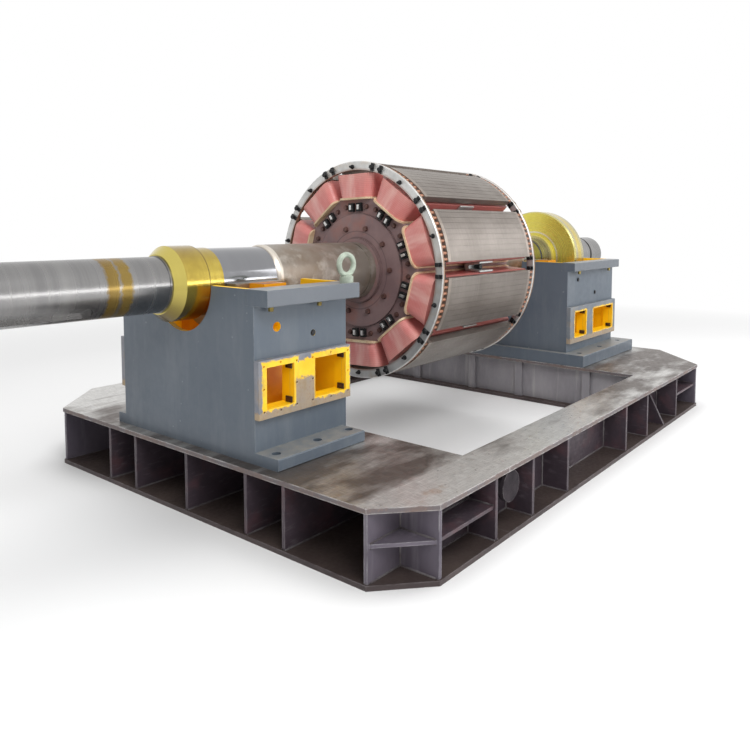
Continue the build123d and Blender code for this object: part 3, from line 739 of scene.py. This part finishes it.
for side in (-1, 1):
    for plug_x, plug_z in far_plugs:
        seat = (plug_x, side * far_walls[1].y, plug_z)
        set_bolt(mesh, seat, (0, side, 0), washer=plug_radius, **plug_head)
    seat = (probe_x, side * (near_walls[1].y - probe_depth), probe_z)
    set_bolt(mesh, seat, (0, side, 0), washer=plug_radius - plug_clearance, **plug_head)
set_down("pedestal_plugs", mesh, "stand", "wedge_black", black_finish, soft=bolt_rounding)
eye_finish, tree, skin = new_finish("pale_green_enamel")
place = surface(tree)[0]
tone = patchy(tree, place, 22.0, 0.4, 0.62)
colour = mixed(tree, tone["Broad"], chip(172, 184, 168), chip(150, 160, 146))
colour = rubbed_edges(tree, place, colour, chip(120, 116, 108), 0.005, 40.0, 1.0)
feed(tree, skin, Base_Color=colour, Roughness=spread(tree, tone["Fine"], 0.3, 0.5),
     Normal=bumped(tree, tone["Fine"], 0.12, 0.001))
dress(eye_finish, "eyebolt")

# Shaft: one steel forging, turned all over, with ground journals and a keyed drive end.
# The drive end is bright with two bands of gold-brown preserving varnish, the journals are polished, and the
# body between journal and rotor is dull beige with brown stains.
thrower_low, thrower_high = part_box("oil_thrower")
journal_margin = 0.018
near_journal = (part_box("near_bush")[0].x - journal_margin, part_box("near_bush")[1].x + journal_margin)
far_journal = (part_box("far_bush")[0].x - journal_margin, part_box("far_bush")[1].x + journal_margin)
varnish_bands = ((0.333, 0.272), (0.264, 0.208))
varnish_edge = 0.007
varnish_wave = 0.006
pale_ring_from = 0.006
pale_ring_to = 0.040
shaft_finish, tree, skin = new_finish("turned_shaft_steel")
place, (x, _, _), _ = surface(tree)
turning = noise(tree, stretched(tree, place, (260.0, 0.4, 0.4)), 1.0, 2.0)
bands = noise(tree, stretched(tree, place, (14.0, 0.3, 0.3)), 1.0, 3.0)
stain = patchy(tree, place, 3.2, 0.42, 0.68)
steel = mixed(tree, graded(tree, bands, 0.35, 0.65), chip(136, 135, 135), chip(148, 147, 146))
steel = mixed(tree, graded(tree, turning, 0.55, 0.8, 0.0, 0.2), steel, chip(98, 95, 93))
wavy_x = plus(tree, x, spread(tree, stain["Fine"], -varnish_wave, varnish_wave))
varnish = None
for start, end in varnish_bands:
    band = along(tree, wavy_x, thrower_low.x - start, thrower_low.x - end, varnish_edge)
    varnish = band if varnish is None else most(tree, varnish, band)
varnish_tone = mixed(tree, stain["Broad"], chip(122, 94, 28), chip(142, 116, 44))
steel = mixed(tree, times(tree, varnish, 0.9), steel, varnish_tone)
dull = along(tree, x, near_journal[1], far_journal[0])
dull_tone = mixed(tree, stain["Broad"], chip(146, 138, 128), chip(120, 101, 80))
chalky = graded(tree, noise(tree, place, 9.0, 4.0), 0.54, 0.66, 0.0, 0.6)
dull_tone = mixed(tree, chalky, dull_tone, chip(184, 177, 167))
steel = mixed(tree, times(tree, dull, 0.9), steel, dull_tone)
pale_ring = along(tree, x, near_journal[1] + pale_ring_from, near_journal[1] + pale_ring_to)
steel = mixed(tree, times(tree, pale_ring, 0.7), steel, chip(226, 218, 206))
polished = plus(tree, along(tree, x, *near_journal), along(tree, x, *far_journal))
steel = mixed(tree, times(tree, polished, 0.75), steel, chip(142, 143, 147))
gloss = spread(tree, bands, 0.24, 0.30)
gloss = plus(tree, gloss, times(tree, dull, 0.12))
gloss = minus(tree, gloss, times(tree, polished, 0.15))
metal = graded(tree, varnish, 0.0, 1.0, 1.0, 0.7)
metal = minus(tree, metal, times(tree, dull, 0.35))
feed(tree, skin, Base_Color=steel, Metallic=metal, Roughness=gloss,
     Normal=bumped(tree, turning, 0.03, 0.0005))
dress(shaft_finish, "shaft")

# Oil thrower ring at the near journal and thrust collar at the far one: turned steel rings shrunk on the
# shaft. Both have clear preserving varnish, gold on the thrower and greenish yellow on the collar's faces.
# The upper faces of the thrower are mixed toward brown as a painted reflection, and its underside toward dark
# brown as painted shade.
cone_length = 0.048
neck_length = 0.094
groove_width = 0.007
groove_on_neck = 0.003
thrower_cone = thrower_low.x + cone_length
groove_end = thrower_high.x - neck_length + groove_on_neck
thrower_finish, tree, skin = new_finish("gold_varnished_steel")
place, (x, _, _), facing = surface(tree)
lines = noise(tree, stretched(tree, place, (160.0, 0.5, 0.5)), 1.0, 2.0)
runs = patchy(tree, place, 5.0, 0.38, 0.70)
gold = mixed(tree, runs["Broad"], chip(198, 176, 76), chip(166, 140, 56))
gold = mixed(tree, graded(tree, lines, 0.5, 0.75, 0.0, 0.3), gold, chip(206, 188, 104))
# Faces that look up are mixed toward brown: a painted reflection.
gold = mixed(tree, graded(tree, facing[2], 0.55, 0.95, 0.0, 0.45), gold, chip(110, 86, 44))
on_cone = graded(tree, x, thrower_cone + mask_edge, thrower_cone - mask_edge)
gold = mixed(tree, on_cone, gold, chip(198, 182, 92))
# Faces that look down are mixed toward dark brown: painted shade.
gold = mixed(tree, graded(tree, facing[2], 0.05, -0.75, 0.0, 0.85), gold, chip(74, 52, 24))
groove = along(tree, x, groove_end - groove_width, groove_end, mask_edge)
gold = mixed(tree, groove, gold, chip(96, 70, 34))
feed(tree, skin, Base_Color=gold, Metallic=0.85, Roughness=spread(tree, lines, 0.18, 0.26),
     Coat_Weight=0.4, Coat_Roughness=0.12, Normal=bumped(tree, lines, 0.03, 0.0005))
dress(thrower_finish, "oil_thrower")


def from_axis(tree, y, z):
    """How far a point lies from the shaft's centre line."""
    off_axis = put(tree, "CombineXYZ", {1: y, 2: minus(tree, z, axis_z)}).outputs[0]
    return put(tree, "VectorMath", {0: off_axis}, operation="LENGTH").outputs["Value"]


collar_half_thickness = 0.095
collar_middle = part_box("thrust_collar")[1].x - collar_half_thickness
collar_hub = 0.215
hub_fillet = 0.004
collar_groove = (0.030, 0.042)
rim_band = (0.030, 0.040)
collar_finish, tree, skin = new_finish("yellow_varnished_collar")
place, (x, y, z), facing = surface(tree)
radius = from_axis(tree, y, z)
rings = noise(tree, put(tree, "CombineXYZ", {0: times(tree, radius, 40.0)}).outputs[0], 1.0, 2.0)
runs = patchy(tree, place, 3.0, 0.34, 0.68)
face_tone = mixed(tree, runs["Broad"], chip(240, 230, 106), chip(222, 210, 90))
face_tone = mixed(tree, graded(tree, rings, 0.5, 0.75, 0.0, 0.2), face_tone, chip(236, 228, 150))
inner_ring = along(tree, radius, collar_hub + collar_groove[0], collar_hub + collar_groove[1])
face_tone = mixed(tree, times(tree, inner_ring, 0.9), face_tone, chip(240, 238, 226))
off_middle = size_of(tree, minus(tree, x, collar_middle))
rim_tone = mixed(tree, graded(tree, off_middle, *rim_band), chip(196, 176, 88), chip(176, 168, 128))
on_face = graded(tree, size_of(tree, facing[0]), 0.6, 0.9)
colour = mixed(tree, on_face, rim_tone, face_tone)
colour = mixed(tree, graded(tree, radius, collar_hub + hub_fillet, collar_hub), colour, chip(214, 206, 140))
feed(tree, skin, Base_Color=colour, Metallic=0.75, Roughness=spread(tree, rings, 0.24, 0.30),
     Coat_Weight=0.4, Coat_Roughness=0.15, Normal=bumped(tree, runs["Fine"], 0.02, 0.0005))
dress(collar_finish, "thrust_collar")

# Spider: the rotor's forged hub and rim, shrunk on the shaft, with a flat end face and a shallow step.
# It has dusty mauve-brown primer, brick red where it is thin, with a ring of hex bolts near the hub and two
# bolts in each gap between poles.
spider_step = 0.393
spider_hub = 0.225
hub_groove = 0.270
hub_proud = 0.022
rim_setback = 0.014
shade_and_joint_lines = ((spider_step, 0.004), (spider_hub, 0.006), (hub_groove, 0.003))
spider_face = rotor_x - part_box("spider")[0].x - hub_proud
rim_face = spider_face - rim_setback
spider_finish, tree, skin = new_finish("mauve_spider_primer")
place, (_, y, z), _ = surface(tree)
radius = from_axis(tree, y, z)
tone = patchy(tree, place, 4.0, 0.36, 0.66)
colour = mixed(tree, tone["Broad"], chip(138, 113, 112), chip(120, 96, 97))
apart = stretched(tree, place, (1, 1, 1), (0.7, 3.3, 1.9))
brick = patchy(tree, apart, 2.8, 0.50, 0.66)
colour = mixed(tree, times(tree, brick["Broad"], 0.7), colour, chip(158, 102, 88))
# Dark rings at the step and round the foot of the raised hub are painted shade in those creases; the ring at
# 0.270 marks the hub's joint.
for line_radius, width in shade_and_joint_lines:
    line = along(tree, radius, line_radius - width, line_radius + width, 2 * mask_edge)
    colour = mixed(tree, times(tree, line, 0.5), colour, chip(56, 40, 40))
colour = rubbed_edges(tree, place, colour, chip(178, 148, 140), 0.005, 30.0, 0.5)
feed(tree, skin, Base_Color=colour, Roughness=spread(tree, tone["Fine"], 0.42, 0.6),
     Normal=bumped(tree, tone["Fine"], 0.12, 0.0015))
dress(spider_finish, "spider")
rusty_finish = two_toned("brown_bolt_steel", (30.0, 0.4, 0.7), chip(78, 52, 48), chip(112, 80, 72), 0.3,
                         (0.4, 0.6))


def on_rotor(turn, radius, x):
    """The point at that angle from the top, turning from +Z to -Y, and at that radius on the rotor."""
    angle = math.radians(turn)
    return (x, -radius * math.sin(angle), axis_z + radius * math.cos(angle))


pole_count = 10
pole_pitch = 360.0 / pole_count
first_turn = -2.3
pole_turns = [pole_pitch * number + first_turn for number in range(pole_count)]
hub_bolt = {"across": 0.030, "height": 0.018, "washer": 0.020}
rim_bolt = {"across": 0.026, "height": 0.016, "washer": 0.018}
hub_bolt_radius = 0.298
rim_bolt_radius = 0.447
rim_bolt_turns = (12.5, 23.5)
for way, word in ((-1, "near"), (1, "far")):
    mesh = bmesh.new()
    for turn in pole_turns:
        spot = on_rotor(turn + pole_pitch / 2, hub_bolt_radius, rotor_x + way * spider_face)
        set_bolt(mesh, spot, (way, 0, 0), **hub_bolt)
        for beside in rim_bolt_turns:
            spot = on_rotor(turn + beside, rim_bolt_radius, rotor_x + way * rim_face)
            set_bolt(mesh, spot, (way, 0, 0), **rim_bolt)
    set_down(f"spider_bolts_{word}", mesh, "rotor", "spider_primer", rusty_finish, soft=bolt_rounding)

# Pole keys: at each pole a pair of black steel clips holds the taper keys that lock the pole to the rim.
# The bright ground key shows in the middle of each clip.


def turned_to(turn):
    """Takes a piece made at the top of a rotor about the origin to that angle on the rotor."""
    return Matrix.Translation((rotor_x, 0, axis_z)) @ Matrix.Rotation(math.radians(turn), 4, "X")


clip_offset = 0.036
clip_width = 0.044
clip_top = 0.464
clip_height = 0.058
clip_depth = 0.024
clip_rim = 0.008
clip_hollow = 0.007
key_width = 0.018
key_height = 0.034
key_out = 0.008
key_rounding = 0.0015
key_finish, tree, skin = new_finish("ground_key_steel")
ground = noise(tree, stretched(tree, surface(tree)[0], (20.0, 300.0, 300.0)), 1.0, 2.0)
feed(tree, skin, Base_Color=mixed(tree, ground, chip(176, 174, 172), chip(226, 224, 222)), Metallic=0.9,
     Roughness=spread(tree, ground, 0.2, 0.4))
mesh = bmesh.new()
for way in (-1, 1):
    clip_xs = sorted((way * rim_face, way * (rim_face + clip_depth)))
    key_xs = sorted((way * rim_face, way * (rim_face + clip_depth + key_out)))
    for turn in pole_turns:
        piece = bmesh.new()
        for middle_y in (-clip_offset, clip_offset):
            add_box(piece, (clip_xs[0], middle_y - clip_width / 2, clip_top - clip_height),
                    (clip_xs[1], middle_y + clip_width / 2, clip_top))
        outer = [face for face in piece.faces if face.normal.x * way > 0.9]
        bmesh.ops.inset_individual(piece, faces=outer, thickness=clip_rim)
        hollow = list({vert for face in outer for vert in face.verts})
        bmesh.ops.translate(piece, vec=(-way * clip_hollow, 0, 0), verts=hollow)
        for middle_y in (-clip_offset, clip_offset):
            key_low = clip_top - (clip_height + key_height) / 2
            verts = add_box(piece, (key_xs[0], middle_y - key_width / 2, key_low),
                            (key_xs[1], middle_y + key_width / 2, key_low + key_height))
            for face in {face for vert in verts for face in vert.link_faces}:
                face.material_index = 1
        bmesh.ops.transform(piece, matrix=turned_to(turn), verts=piece.verts)
        join_in(mesh, piece)
keys = set_down("pole_keys", mesh, "rotor", "wedge_black", black_finish, key_finish, soft=key_rounding)
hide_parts("pole_wedges")

# Poles: stacks of punched sheet steel clamped between thick end plates, keyed to the rim, with a fine open
# slot over each damper bar. Dull grey-beige steel with lamination lines, and slightly brighter end plates.
crown_radius = 0.745
shoe_base = 0.676
shoe_half_arc = math.radians(14.0)
crown_steps = 145
slot_step = 16
slot_depth = 0.002
body_half_width = 0.090
body_foot = 0.488
stack_half_length = 0.500
pole_half_length = 0.530
pole_finish, tree, skin = new_finish("pole_laminations")
place = surface(tree)[0]
pack_lines = {"Vector": place, "Scale": 30.0, "Distortion": 0.0}
packs = put(tree, "TexWave", pack_lines, bands_direction="X").outputs[1]
sheets = noise(tree, stretched(tree, place, (420.0, 3.0, 3.0)), 1.0, 2.0)
tone = patchy(tree, place, 3.0, 0.34, 0.68)
colour = mixed(tree, tone["Broad"], chip(116, 108, 102), chip(136, 129, 122))
colour = mixed(tree, graded(tree, packs, 0.60, 0.95, 0.0, 0.36), colour, chip(80, 71, 66))
apart = stretched(tree, place, (0.7, 1.6, 1.6), (1.3, 2.9, 0.8))
oil = patchy(tree, apart, 4.0, 0.48, 0.72)
colour = mixed(tree, times(tree, oil["Broad"], 0.5), colour, chip(92, 82, 75))
colour = mixed(tree, graded(tree, sheets, 0.5, 0.8, 0.0, 0.40), colour, chip(170, 164, 158))
feed(tree, skin, Base_Color=colour, Metallic=0.6, Roughness=spread(tree, sheets, 0.36, 0.48),
     Normal=bumped(tree, packs, 0.12, 0.0008))
end_finish = two_toned("pole_end_plates", (14.0, 0.35, 0.65), chip(132, 122, 114), chip(152, 142, 133), 0.6,
                       (0.34, 0.5))


def draw_out(mesh, faces, length):
    """Extrudes the faces along the shaft."""
    drawn = bmesh.ops.extrude_face_region(mesh, geom=faces)["geom"]
    moved = [item for item in drawn if isinstance(item, bmesh.types.BMVert)]
    bmesh.ops.translate(mesh, vec=(length, 0, 0), verts=moved)


def pole_block(start_x, end_x, slotted):
    """One block of a pole's length: a shoe with a round crown, and the body below it."""
    block = bmesh.new()
    sine, cosine = math.sin(shoe_half_arc), math.cos(shoe_half_arc)
    low_radius = shoe_base * cosine
    tips = [block.verts.new((start_x, r * sine, r * cosine)) for r in (low_radius, crown_radius)]
    side = block.edges.new(tips)
    bmesh.ops.spin(block, geom=tips + [side], cent=(0, 0, 0), axis=(1, 0, 0), dvec=(0, 0, 0),
                   angle=2 * shoe_half_arc, steps=crown_steps, use_merge=False, use_duplicate=False)
    everything = block.verts[:] + block.edges[:] + block.faces[:]
    bmesh.ops.bisect_plane(block, geom=everything, plane_co=(0, 0, shoe_base), plane_no=(0, 0, -1),
                           clear_outer=True)
    draw_out(block, block.faces[:], end_x - start_x)
    bmesh.ops.recalc_face_normals(block, faces=block.faces)
    if slotted:
        crown_from = crown_radius * 0.999
        crown = [face for face in block.faces if face.calc_center_median().yz.length > crown_from]
        crown = [face for face in crown if abs(face.normal.x) < 0.5]
        crown.sort(key=lambda face: face.calc_center_median().y)
        for face in crown[len(crown) // 2 % slot_step::slot_step]:
            inward = -slot_depth * face.normal
            bottom = bmesh.ops.extrude_discrete_faces(block, faces=[face])["faces"]
            bmesh.ops.translate(block, vec=inward, verts=bottom[0].verts)
    add_box(block, (start_x, -body_half_width, body_foot), (end_x, body_half_width, shoe_base))
    return block


for number, turn in enumerate(pole_turns, 1):
    mesh = bmesh.new()
    join_in(mesh, pole_block(-stack_half_length, stack_half_length, True))
    for start_x, end_x in ((-pole_half_length, -stack_half_length), (stack_half_length, pole_half_length)):
        plate = pole_block(start_x, end_x, False)
        for face in plate.faces:
            face.material_index = 1
        join_in(mesh, plate)
    bmesh.ops.transform(mesh, matrix=turned_to(turn), verts=mesh.verts)
    piece = set_down(f"laminated_pole_{number:02d}", mesh, "rotor", "pole_laminations", pole_finish,
                     end_finish)
    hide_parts(f"pole_{number:02d}")

# Field coils: copper strip wound on edge round each pole and sealed with pink-red varnish. The turns show as
# faint lines. A paler band towards the pole shoe is a painted sheen, chalky patches grow stronger towards the
# middle of each coil end as a painted highlight, and the flanks are painted darker as shade.
wave = maths("SINE")
strip_pitch = 0.0125
sheen_from = 0.585
sheen_to = 0.655
sheen_ragged = 0.012
highlight_half_widths = (0.13, 0.04)
for number, turn in enumerate(pole_turns, 1):
    coil_finish, tree, skin = new_finish(f"coil_varnish_{number:02d}")
    place, _, facing = surface(tree)
    from_centre = {0: place, 1: (rotor_x, 0.0, axis_z)}
    centred = put(tree, "VectorMath", from_centre, operation="SUBTRACT").outputs["Vector"]
    upright = put(tree, "Mapping", {"Vector": centred, "Rotation": (math.radians(-turn), 0, 0)}).outputs[0]
    _, y, z = split(tree, upright)
    tone = patchy(tree, upright, 5.0, 0.34, 0.68)
    strips = wave(tree, times(tree, z, 2 * math.pi / strip_pitch))
    ragged = plus(tree, z, spread(tree, tone["Fine"], -sheen_ragged, sheen_ragged))
    colour = mixed(tree, tone["Broad"], chip(222, 144, 138), chip(210, 121, 117))
    # A paler band towards the pole shoe: a painted sheen.
    colour = mixed(tree, graded(tree, ragged, sheen_from, sheen_to, 0.0, 0.6), colour, chip(222, 158, 148))
    colour = mixed(tree, graded(tree, strips, 0.55, 1.0, 0.0, 0.22), colour, chip(150, 66, 66))
    # Chalky pale patches, stronger towards the middle of the coil end: chalk, with a painted highlight in the
    # middle.
    chalk = noise(tree, stretched(tree, upright, (6.0, 18.0, 5.0)), 1.0, 4.0)
    chalk = graded(tree, chalk, 0.44, 0.74, 0.0, 0.55)
    chalk = times(tree, chalk, graded(tree, size_of(tree, y), *highlight_half_widths, 0.3, 1.0))
    colour = mixed(tree, chalk, colour, chip(240, 200, 192))
    # The flanks are mixed toward dark red: painted shade.
    shaded_flank = graded(tree, size_of(tree, facing[0]), 0.4, 0.1, 0.0, 0.5)
    colour = mixed(tree, shaded_flank, colour, chip(158, 62, 62))
    feed(tree, skin, Base_Color=colour, Roughness=spread(tree, tone["Fine"], 0.3, 0.48), Coat_Weight=0.15,
         Coat_Roughness=0.3, Normal=bumped(tree, strips, 0.20, 0.0012))
    dress(coil_finish, f"coil_{number:02d}")

# Coil collars: cream laminate boards under each coil, on the rim, that stand out as a pale line.
# They are sawn from sheet and keep the copper off the steel.
board_finish = two_toned("cream_laminate", (16.0, 0.38, 0.64), chip(224, 204, 170), chip(206, 172, 138), 0.0,
                         (0.5, 0.7))
dress(board_finish, "coil_washers")

# Damper rings: tinned copper rings at both ends of the poles, brazed to the ends of the damper bars.
# The flat face is silver grey with beige stains, the rim dull brown copper and the bars bare pinkish copper.
ring_face = rotor_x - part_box("damper_ring_near")[0].x
ring_thickness = 0.025
ring_back = ring_face - ring_thickness
ring_inner = 0.690
ring_stain_width = 0.016
ring_finish, tree, skin = new_finish("tinned_damper_ring")
place, (x, y, z), facing = surface(tree)
tone = patchy(tree, place, 7.0, 0.36, 0.64)
tin = mixed(tree, tone["Broad"], chip(190, 190, 188), chip(214, 214, 212))
apart = stretched(tree, place, (1, 1, 1), (2.3, 0.9, 4.1))
beige = patchy(tree, apart, 5.0, 0.54, 0.70)
tin = mixed(tree, times(tree, beige["Broad"], 0.6), tin, chip(196, 176, 154))
rusty = graded(tree, from_axis(tree, y, z), ring_inner + ring_stain_width, ring_inner, 0.0, 0.6)
tin = mixed(tree, rusty, tin, chip(150, 112, 94))
copper = mixed(tree, tone["Broad"], chip(150, 123, 100), chip(122, 94, 76))
off_middle = size_of(tree, minus(tree, x, rotor_x))
bars = graded(tree, off_middle, ring_back + mask_edge, ring_back - mask_edge)
copper = mixed(tree, bars, copper, chip(164, 114, 88))
flat = graded(tree, size_of(tree, facing[0]), 0.5, 0.6)
feed(tree, skin, Base_Color=mixed(tree, flat, copper, tin), Metallic=graded(tree, flat, 0.0, 1.0, 0.1, 0.6),
     Roughness=spread(tree, tone["Fine"], 0.30, 0.46), Normal=bumped(tree, tone["Fine"], 0.05, 0.001))
dress(ring_finish, "damper_ring_near", "damper_ring_far")

# Ring clamps: black steel fish plates with a bolt through the ring, a pair across each gap between poles, and
# a single small bolt over the middle of each pole.
clamp_turns = (15.0, 21.0)
clamp_radius = 0.720
clamp_length = 0.054
clamp_width = 0.026
clamp_thickness = 0.010
clamp_bolt = {"across": 0.026, "height": 0.016}
single_bolt = {"across": 0.022, "height": 0.014, "washer": 0.016}
stud_radius = 0.008
stud_out = 0.028
single_radius = 0.711
for way, word in ((-1, "near"), (1, "far")):
    mesh = bmesh.new()
    outer_xs = sorted((way * ring_face, way * (ring_face + clamp_thickness)))
    inner_xs = sorted((way * ring_back, way * (ring_back - clamp_thickness)))
    for turn in pole_turns:
        for beside in clamp_turns:
            piece = bmesh.new()
            for xs in (outer_xs, inner_xs):
                add_box(piece, (xs[0], -clamp_width / 2, clamp_radius - clamp_length / 2),
                        (xs[1], clamp_width / 2, clamp_radius + clamp_length / 2))
            for seat, out in ((ring_face + clamp_thickness, way), (ring_back - clamp_thickness, -way)):
                set_bolt(piece, (way * seat, 0, clamp_radius), (out, 0, 0), **clamp_bolt)
            bmesh.ops.transform(piece, matrix=turned_to(turn + beside), verts=piece.verts)
            join_in(mesh, piece)
        spot = on_rotor(turn, single_radius, rotor_x + way * ring_face)
        set_bolt(mesh, spot, (way, 0, 0), **single_bolt)
        stud_place = Matrix.Translation((spot[0] + way * stud_out / 2, spot[1], spot[2]))
        add_rod(mesh, 8, stud_radius, stud_out, stud_place @ Matrix.Rotation(math.pi / 2, 4, "Y"))
    set_down(f"ring_clamps_{word}", mesh, "rotor", "wedge_black", black_finish, soft=bolt_rounding)

# Coil braces: bright machined V blocks wedged between neighbouring coils at mid-length, each pulled down to
# the rim by one black bolt.
coil_foot = (0.501, 0.140)
coil_head = (0.662, 0.174)
brace_foot = 0.560
brace_head = 0.688
brace_floor = 0.596
brace_leg = 0.012
brace_floor_half = 0.011
brace_gap = 0.003
brace_half_length = 0.085
brace_rounding = 0.0012
brace_bolt = {"across": 0.034, "height": 0.046}
draw_bolt_radius = 0.009
rim_corner = body_foot / math.cos(math.radians(pole_pitch / 2))
brace_finish, tree, skin = new_finish("bright_brace_steel")
milled = noise(tree, stretched(tree, surface(tree)[0], (200.0, 40.0, 40.0)), 1.0, 2.0)
feed(tree, skin, Base_Color=mixed(tree, milled, chip(176, 178, 176), chip(204, 204, 202)), Metallic=0.75,
     Roughness=spread(tree, milled, 0.26, 0.42))


def beside_gap(radius, half_width):
    """A coil's corner seen from the middle of the gap beside it: how far off, and how far out."""
    half_pitch = math.radians(pole_pitch / 2)
    off = radius * math.sin(half_pitch) - half_width * math.cos(half_pitch)
    return off, radius * math.cos(half_pitch) + half_width * math.sin(half_pitch)


foot_off, foot_out = beside_gap(*coil_foot)
head_off, head_out = beside_gap(*coil_head)
slope = (head_off - foot_off) / (head_out - foot_out)
low_half = foot_off + slope * (brace_foot - foot_out) - brace_gap
high_half = foot_off + slope * (brace_head - foot_out) - brace_gap
half_outline = [(low_half, brace_foot), (high_half, brace_head), (high_half - brace_leg, brace_head),
                (brace_floor_half, brace_floor)]
outline = half_outline + [(-y, z) for y, z in reversed(half_outline)]
mesh = bmesh.new()
for turn in pole_turns:
    piece = bmesh.new()
    end = piece.faces.new([piece.verts.new((-brace_half_length, y, z)) for y, z in outline])
    draw_out(piece, [end], 2 * brace_half_length)
    block_faces = set(piece.faces)
    set_bolt(piece, (0.0, 0.0, brace_floor), (0, 0, 1), **brace_bolt)
    draw_bolt_middle = Matrix.Translation((0, 0, (brace_foot + rim_corner) / 2))
    add_rod(piece, 10, draw_bolt_radius, brace_foot - rim_corner, draw_bolt_middle)
    for face in piece.faces:
        face.material_index = 0 if face in block_faces else 1
    bmesh.ops.transform(piece, matrix=turned_to(turn + pole_pitch / 2), verts=piece.verts)
    join_in(mesh, piece)
braces = set_down("v_braces", mesh, "rotor", "brace_steel", brace_finish, black_finish, soft=brace_rounding)
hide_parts("coil_braces")

# Studio: a pale floor that runs out to white, a soft key light from above the camera's left, a broad top
# light and weak fills from the right and from low on the side of the bays. The top light stays out of
# reflections, so that the level bare steel doesn't mirror it.
floor_radius = 40.0
white_from = 5.0
white_to = 9.0
floor_mesh = bmesh.new()
bmesh.ops.create_circle(floor_mesh, cap_ends=True, segments=64, radius=floor_radius)
floor_data = bpy.data.meshes.new("floor")
floor_mesh.to_mesh(floor_data)
floor_mesh.free()
floor = bpy.data.objects.new("floor", floor_data)
bpy.context.collection.objects.link(floor)
floor_finish, tree, skin = new_finish("pale_floor")
feed(tree, skin, Base_Color=(0.86, 0.86, 0.86, 1.0), Roughness=0.8)


def seen_rays(tree):
    rays = put(tree, "LightPath").outputs
    seen = most(tree, rays["Is Camera Ray"], rays["Is Glossy Ray"])
    return most(tree, seen, rays["Is Transmission Ray"])


from_middle = put(tree, "VectorMath", {0: surface(tree)[0]}, operation="LENGTH").outputs["Value"]
far_off = times(tree, seen_rays(tree), graded(tree, from_middle, white_from, white_to))
white = put(tree, "Emission", {"Color": (1.0, 1.0, 1.0, 1.0), "Strength": 1.0}).outputs[0]
blend = put(tree, "MixShader", {0: far_off, 1: skin.outputs[0], 2: white}).outputs[0]
tree.links.new(blend, tree.nodes["Material Output"].inputs["Surface"])
floor.data.materials.append(floor_finish)

world = bpy.data.worlds.new("studio")
bpy.context.scene.world = world
world.use_nodes = True
tree = world.node_tree
background = tree.nodes["Background"]
ambient = (0.48, 0.48, 0.48, 1.0)
tree.links.new(mixed(tree, seen_rays(tree), ambient, (1.0, 1.0, 1.0, 1.0)), background.inputs["Color"])
background.inputs["Strength"].default_value = 1.0


def add_light(name, spot, aim, size, power):
    data = bpy.data.lights.new(name, "AREA")
    data.shape = "RECTANGLE"
    data.size, data.size_y = size
    data.energy = power
    light = bpy.data.objects.new(name, data)
    turn = (Vector(aim) - Vector(spot)).to_track_quat("-Z", "Y").to_matrix().to_4x4()
    light.matrix_world = Matrix.Translation(spot) @ turn
    bpy.context.collection.objects.link(light)
    return light


add_light("key", spot=(-4.0, -6.0, 6.5), aim=(0.0, 0.0, 0.8), size=(4.0, 4.0), power=400.0)
top_light = add_light("top", spot=(0.5, 0.5, 10.0), aim=(0.0, 0.0, 0.0), size=(8.0, 6.0), power=560.0)
top_light.visible_glossy = False
add_light("fill", spot=(5.5, -5.0, 3.5), aim=(0.5, 0.0, 0.6), size=(4.0, 3.0), power=130.0)
add_light("bay_fill", spot=(1.5, -7.5, 1.4), aim=(0.0, -1.6, 0.2), size=(5.0, 1.0), power=90.0)

camera_data = bpy.data.cameras.new("camera")
image_size = 750.0
focal_pixels = 690.59
middle_pixel = (443.80, 273.45)
camera_data.sensor_width = 36.0
camera_data.lens = focal_pixels / image_size * camera_data.sensor_width
camera_data.shift_x = (image_size / 2 - middle_pixel[0]) / image_size
camera_data.shift_y = (middle_pixel[1] - image_size / 2) / image_size
camera_data.clip_end = 200.0
camera = bpy.data.objects.new("camera", camera_data)
bpy.context.collection.objects.link(camera)
camera_spot = (-4.2172, -3.3011, 1.5537)
yaw, pitch, roll = 0.9414, -0.0715, 0.0067
ahead = Vector((math.sin(yaw) * math.cos(pitch), math.cos(yaw) * math.cos(pitch), math.sin(pitch)))
level = Vector((math.cos(yaw), -math.sin(yaw), 0.0))
above = level.cross(ahead)
right = math.cos(roll) * level + math.sin(roll) * above
above = math.cos(roll) * above - math.sin(roll) * level
camera.matrix_world = Matrix.Translation(camera_spot) @ Matrix((right, above, -ahead)).transposed().to_4x4()
bpy.context.scene.camera = camera
bpy.context.scene.view_settings.view_transform = "Standard"
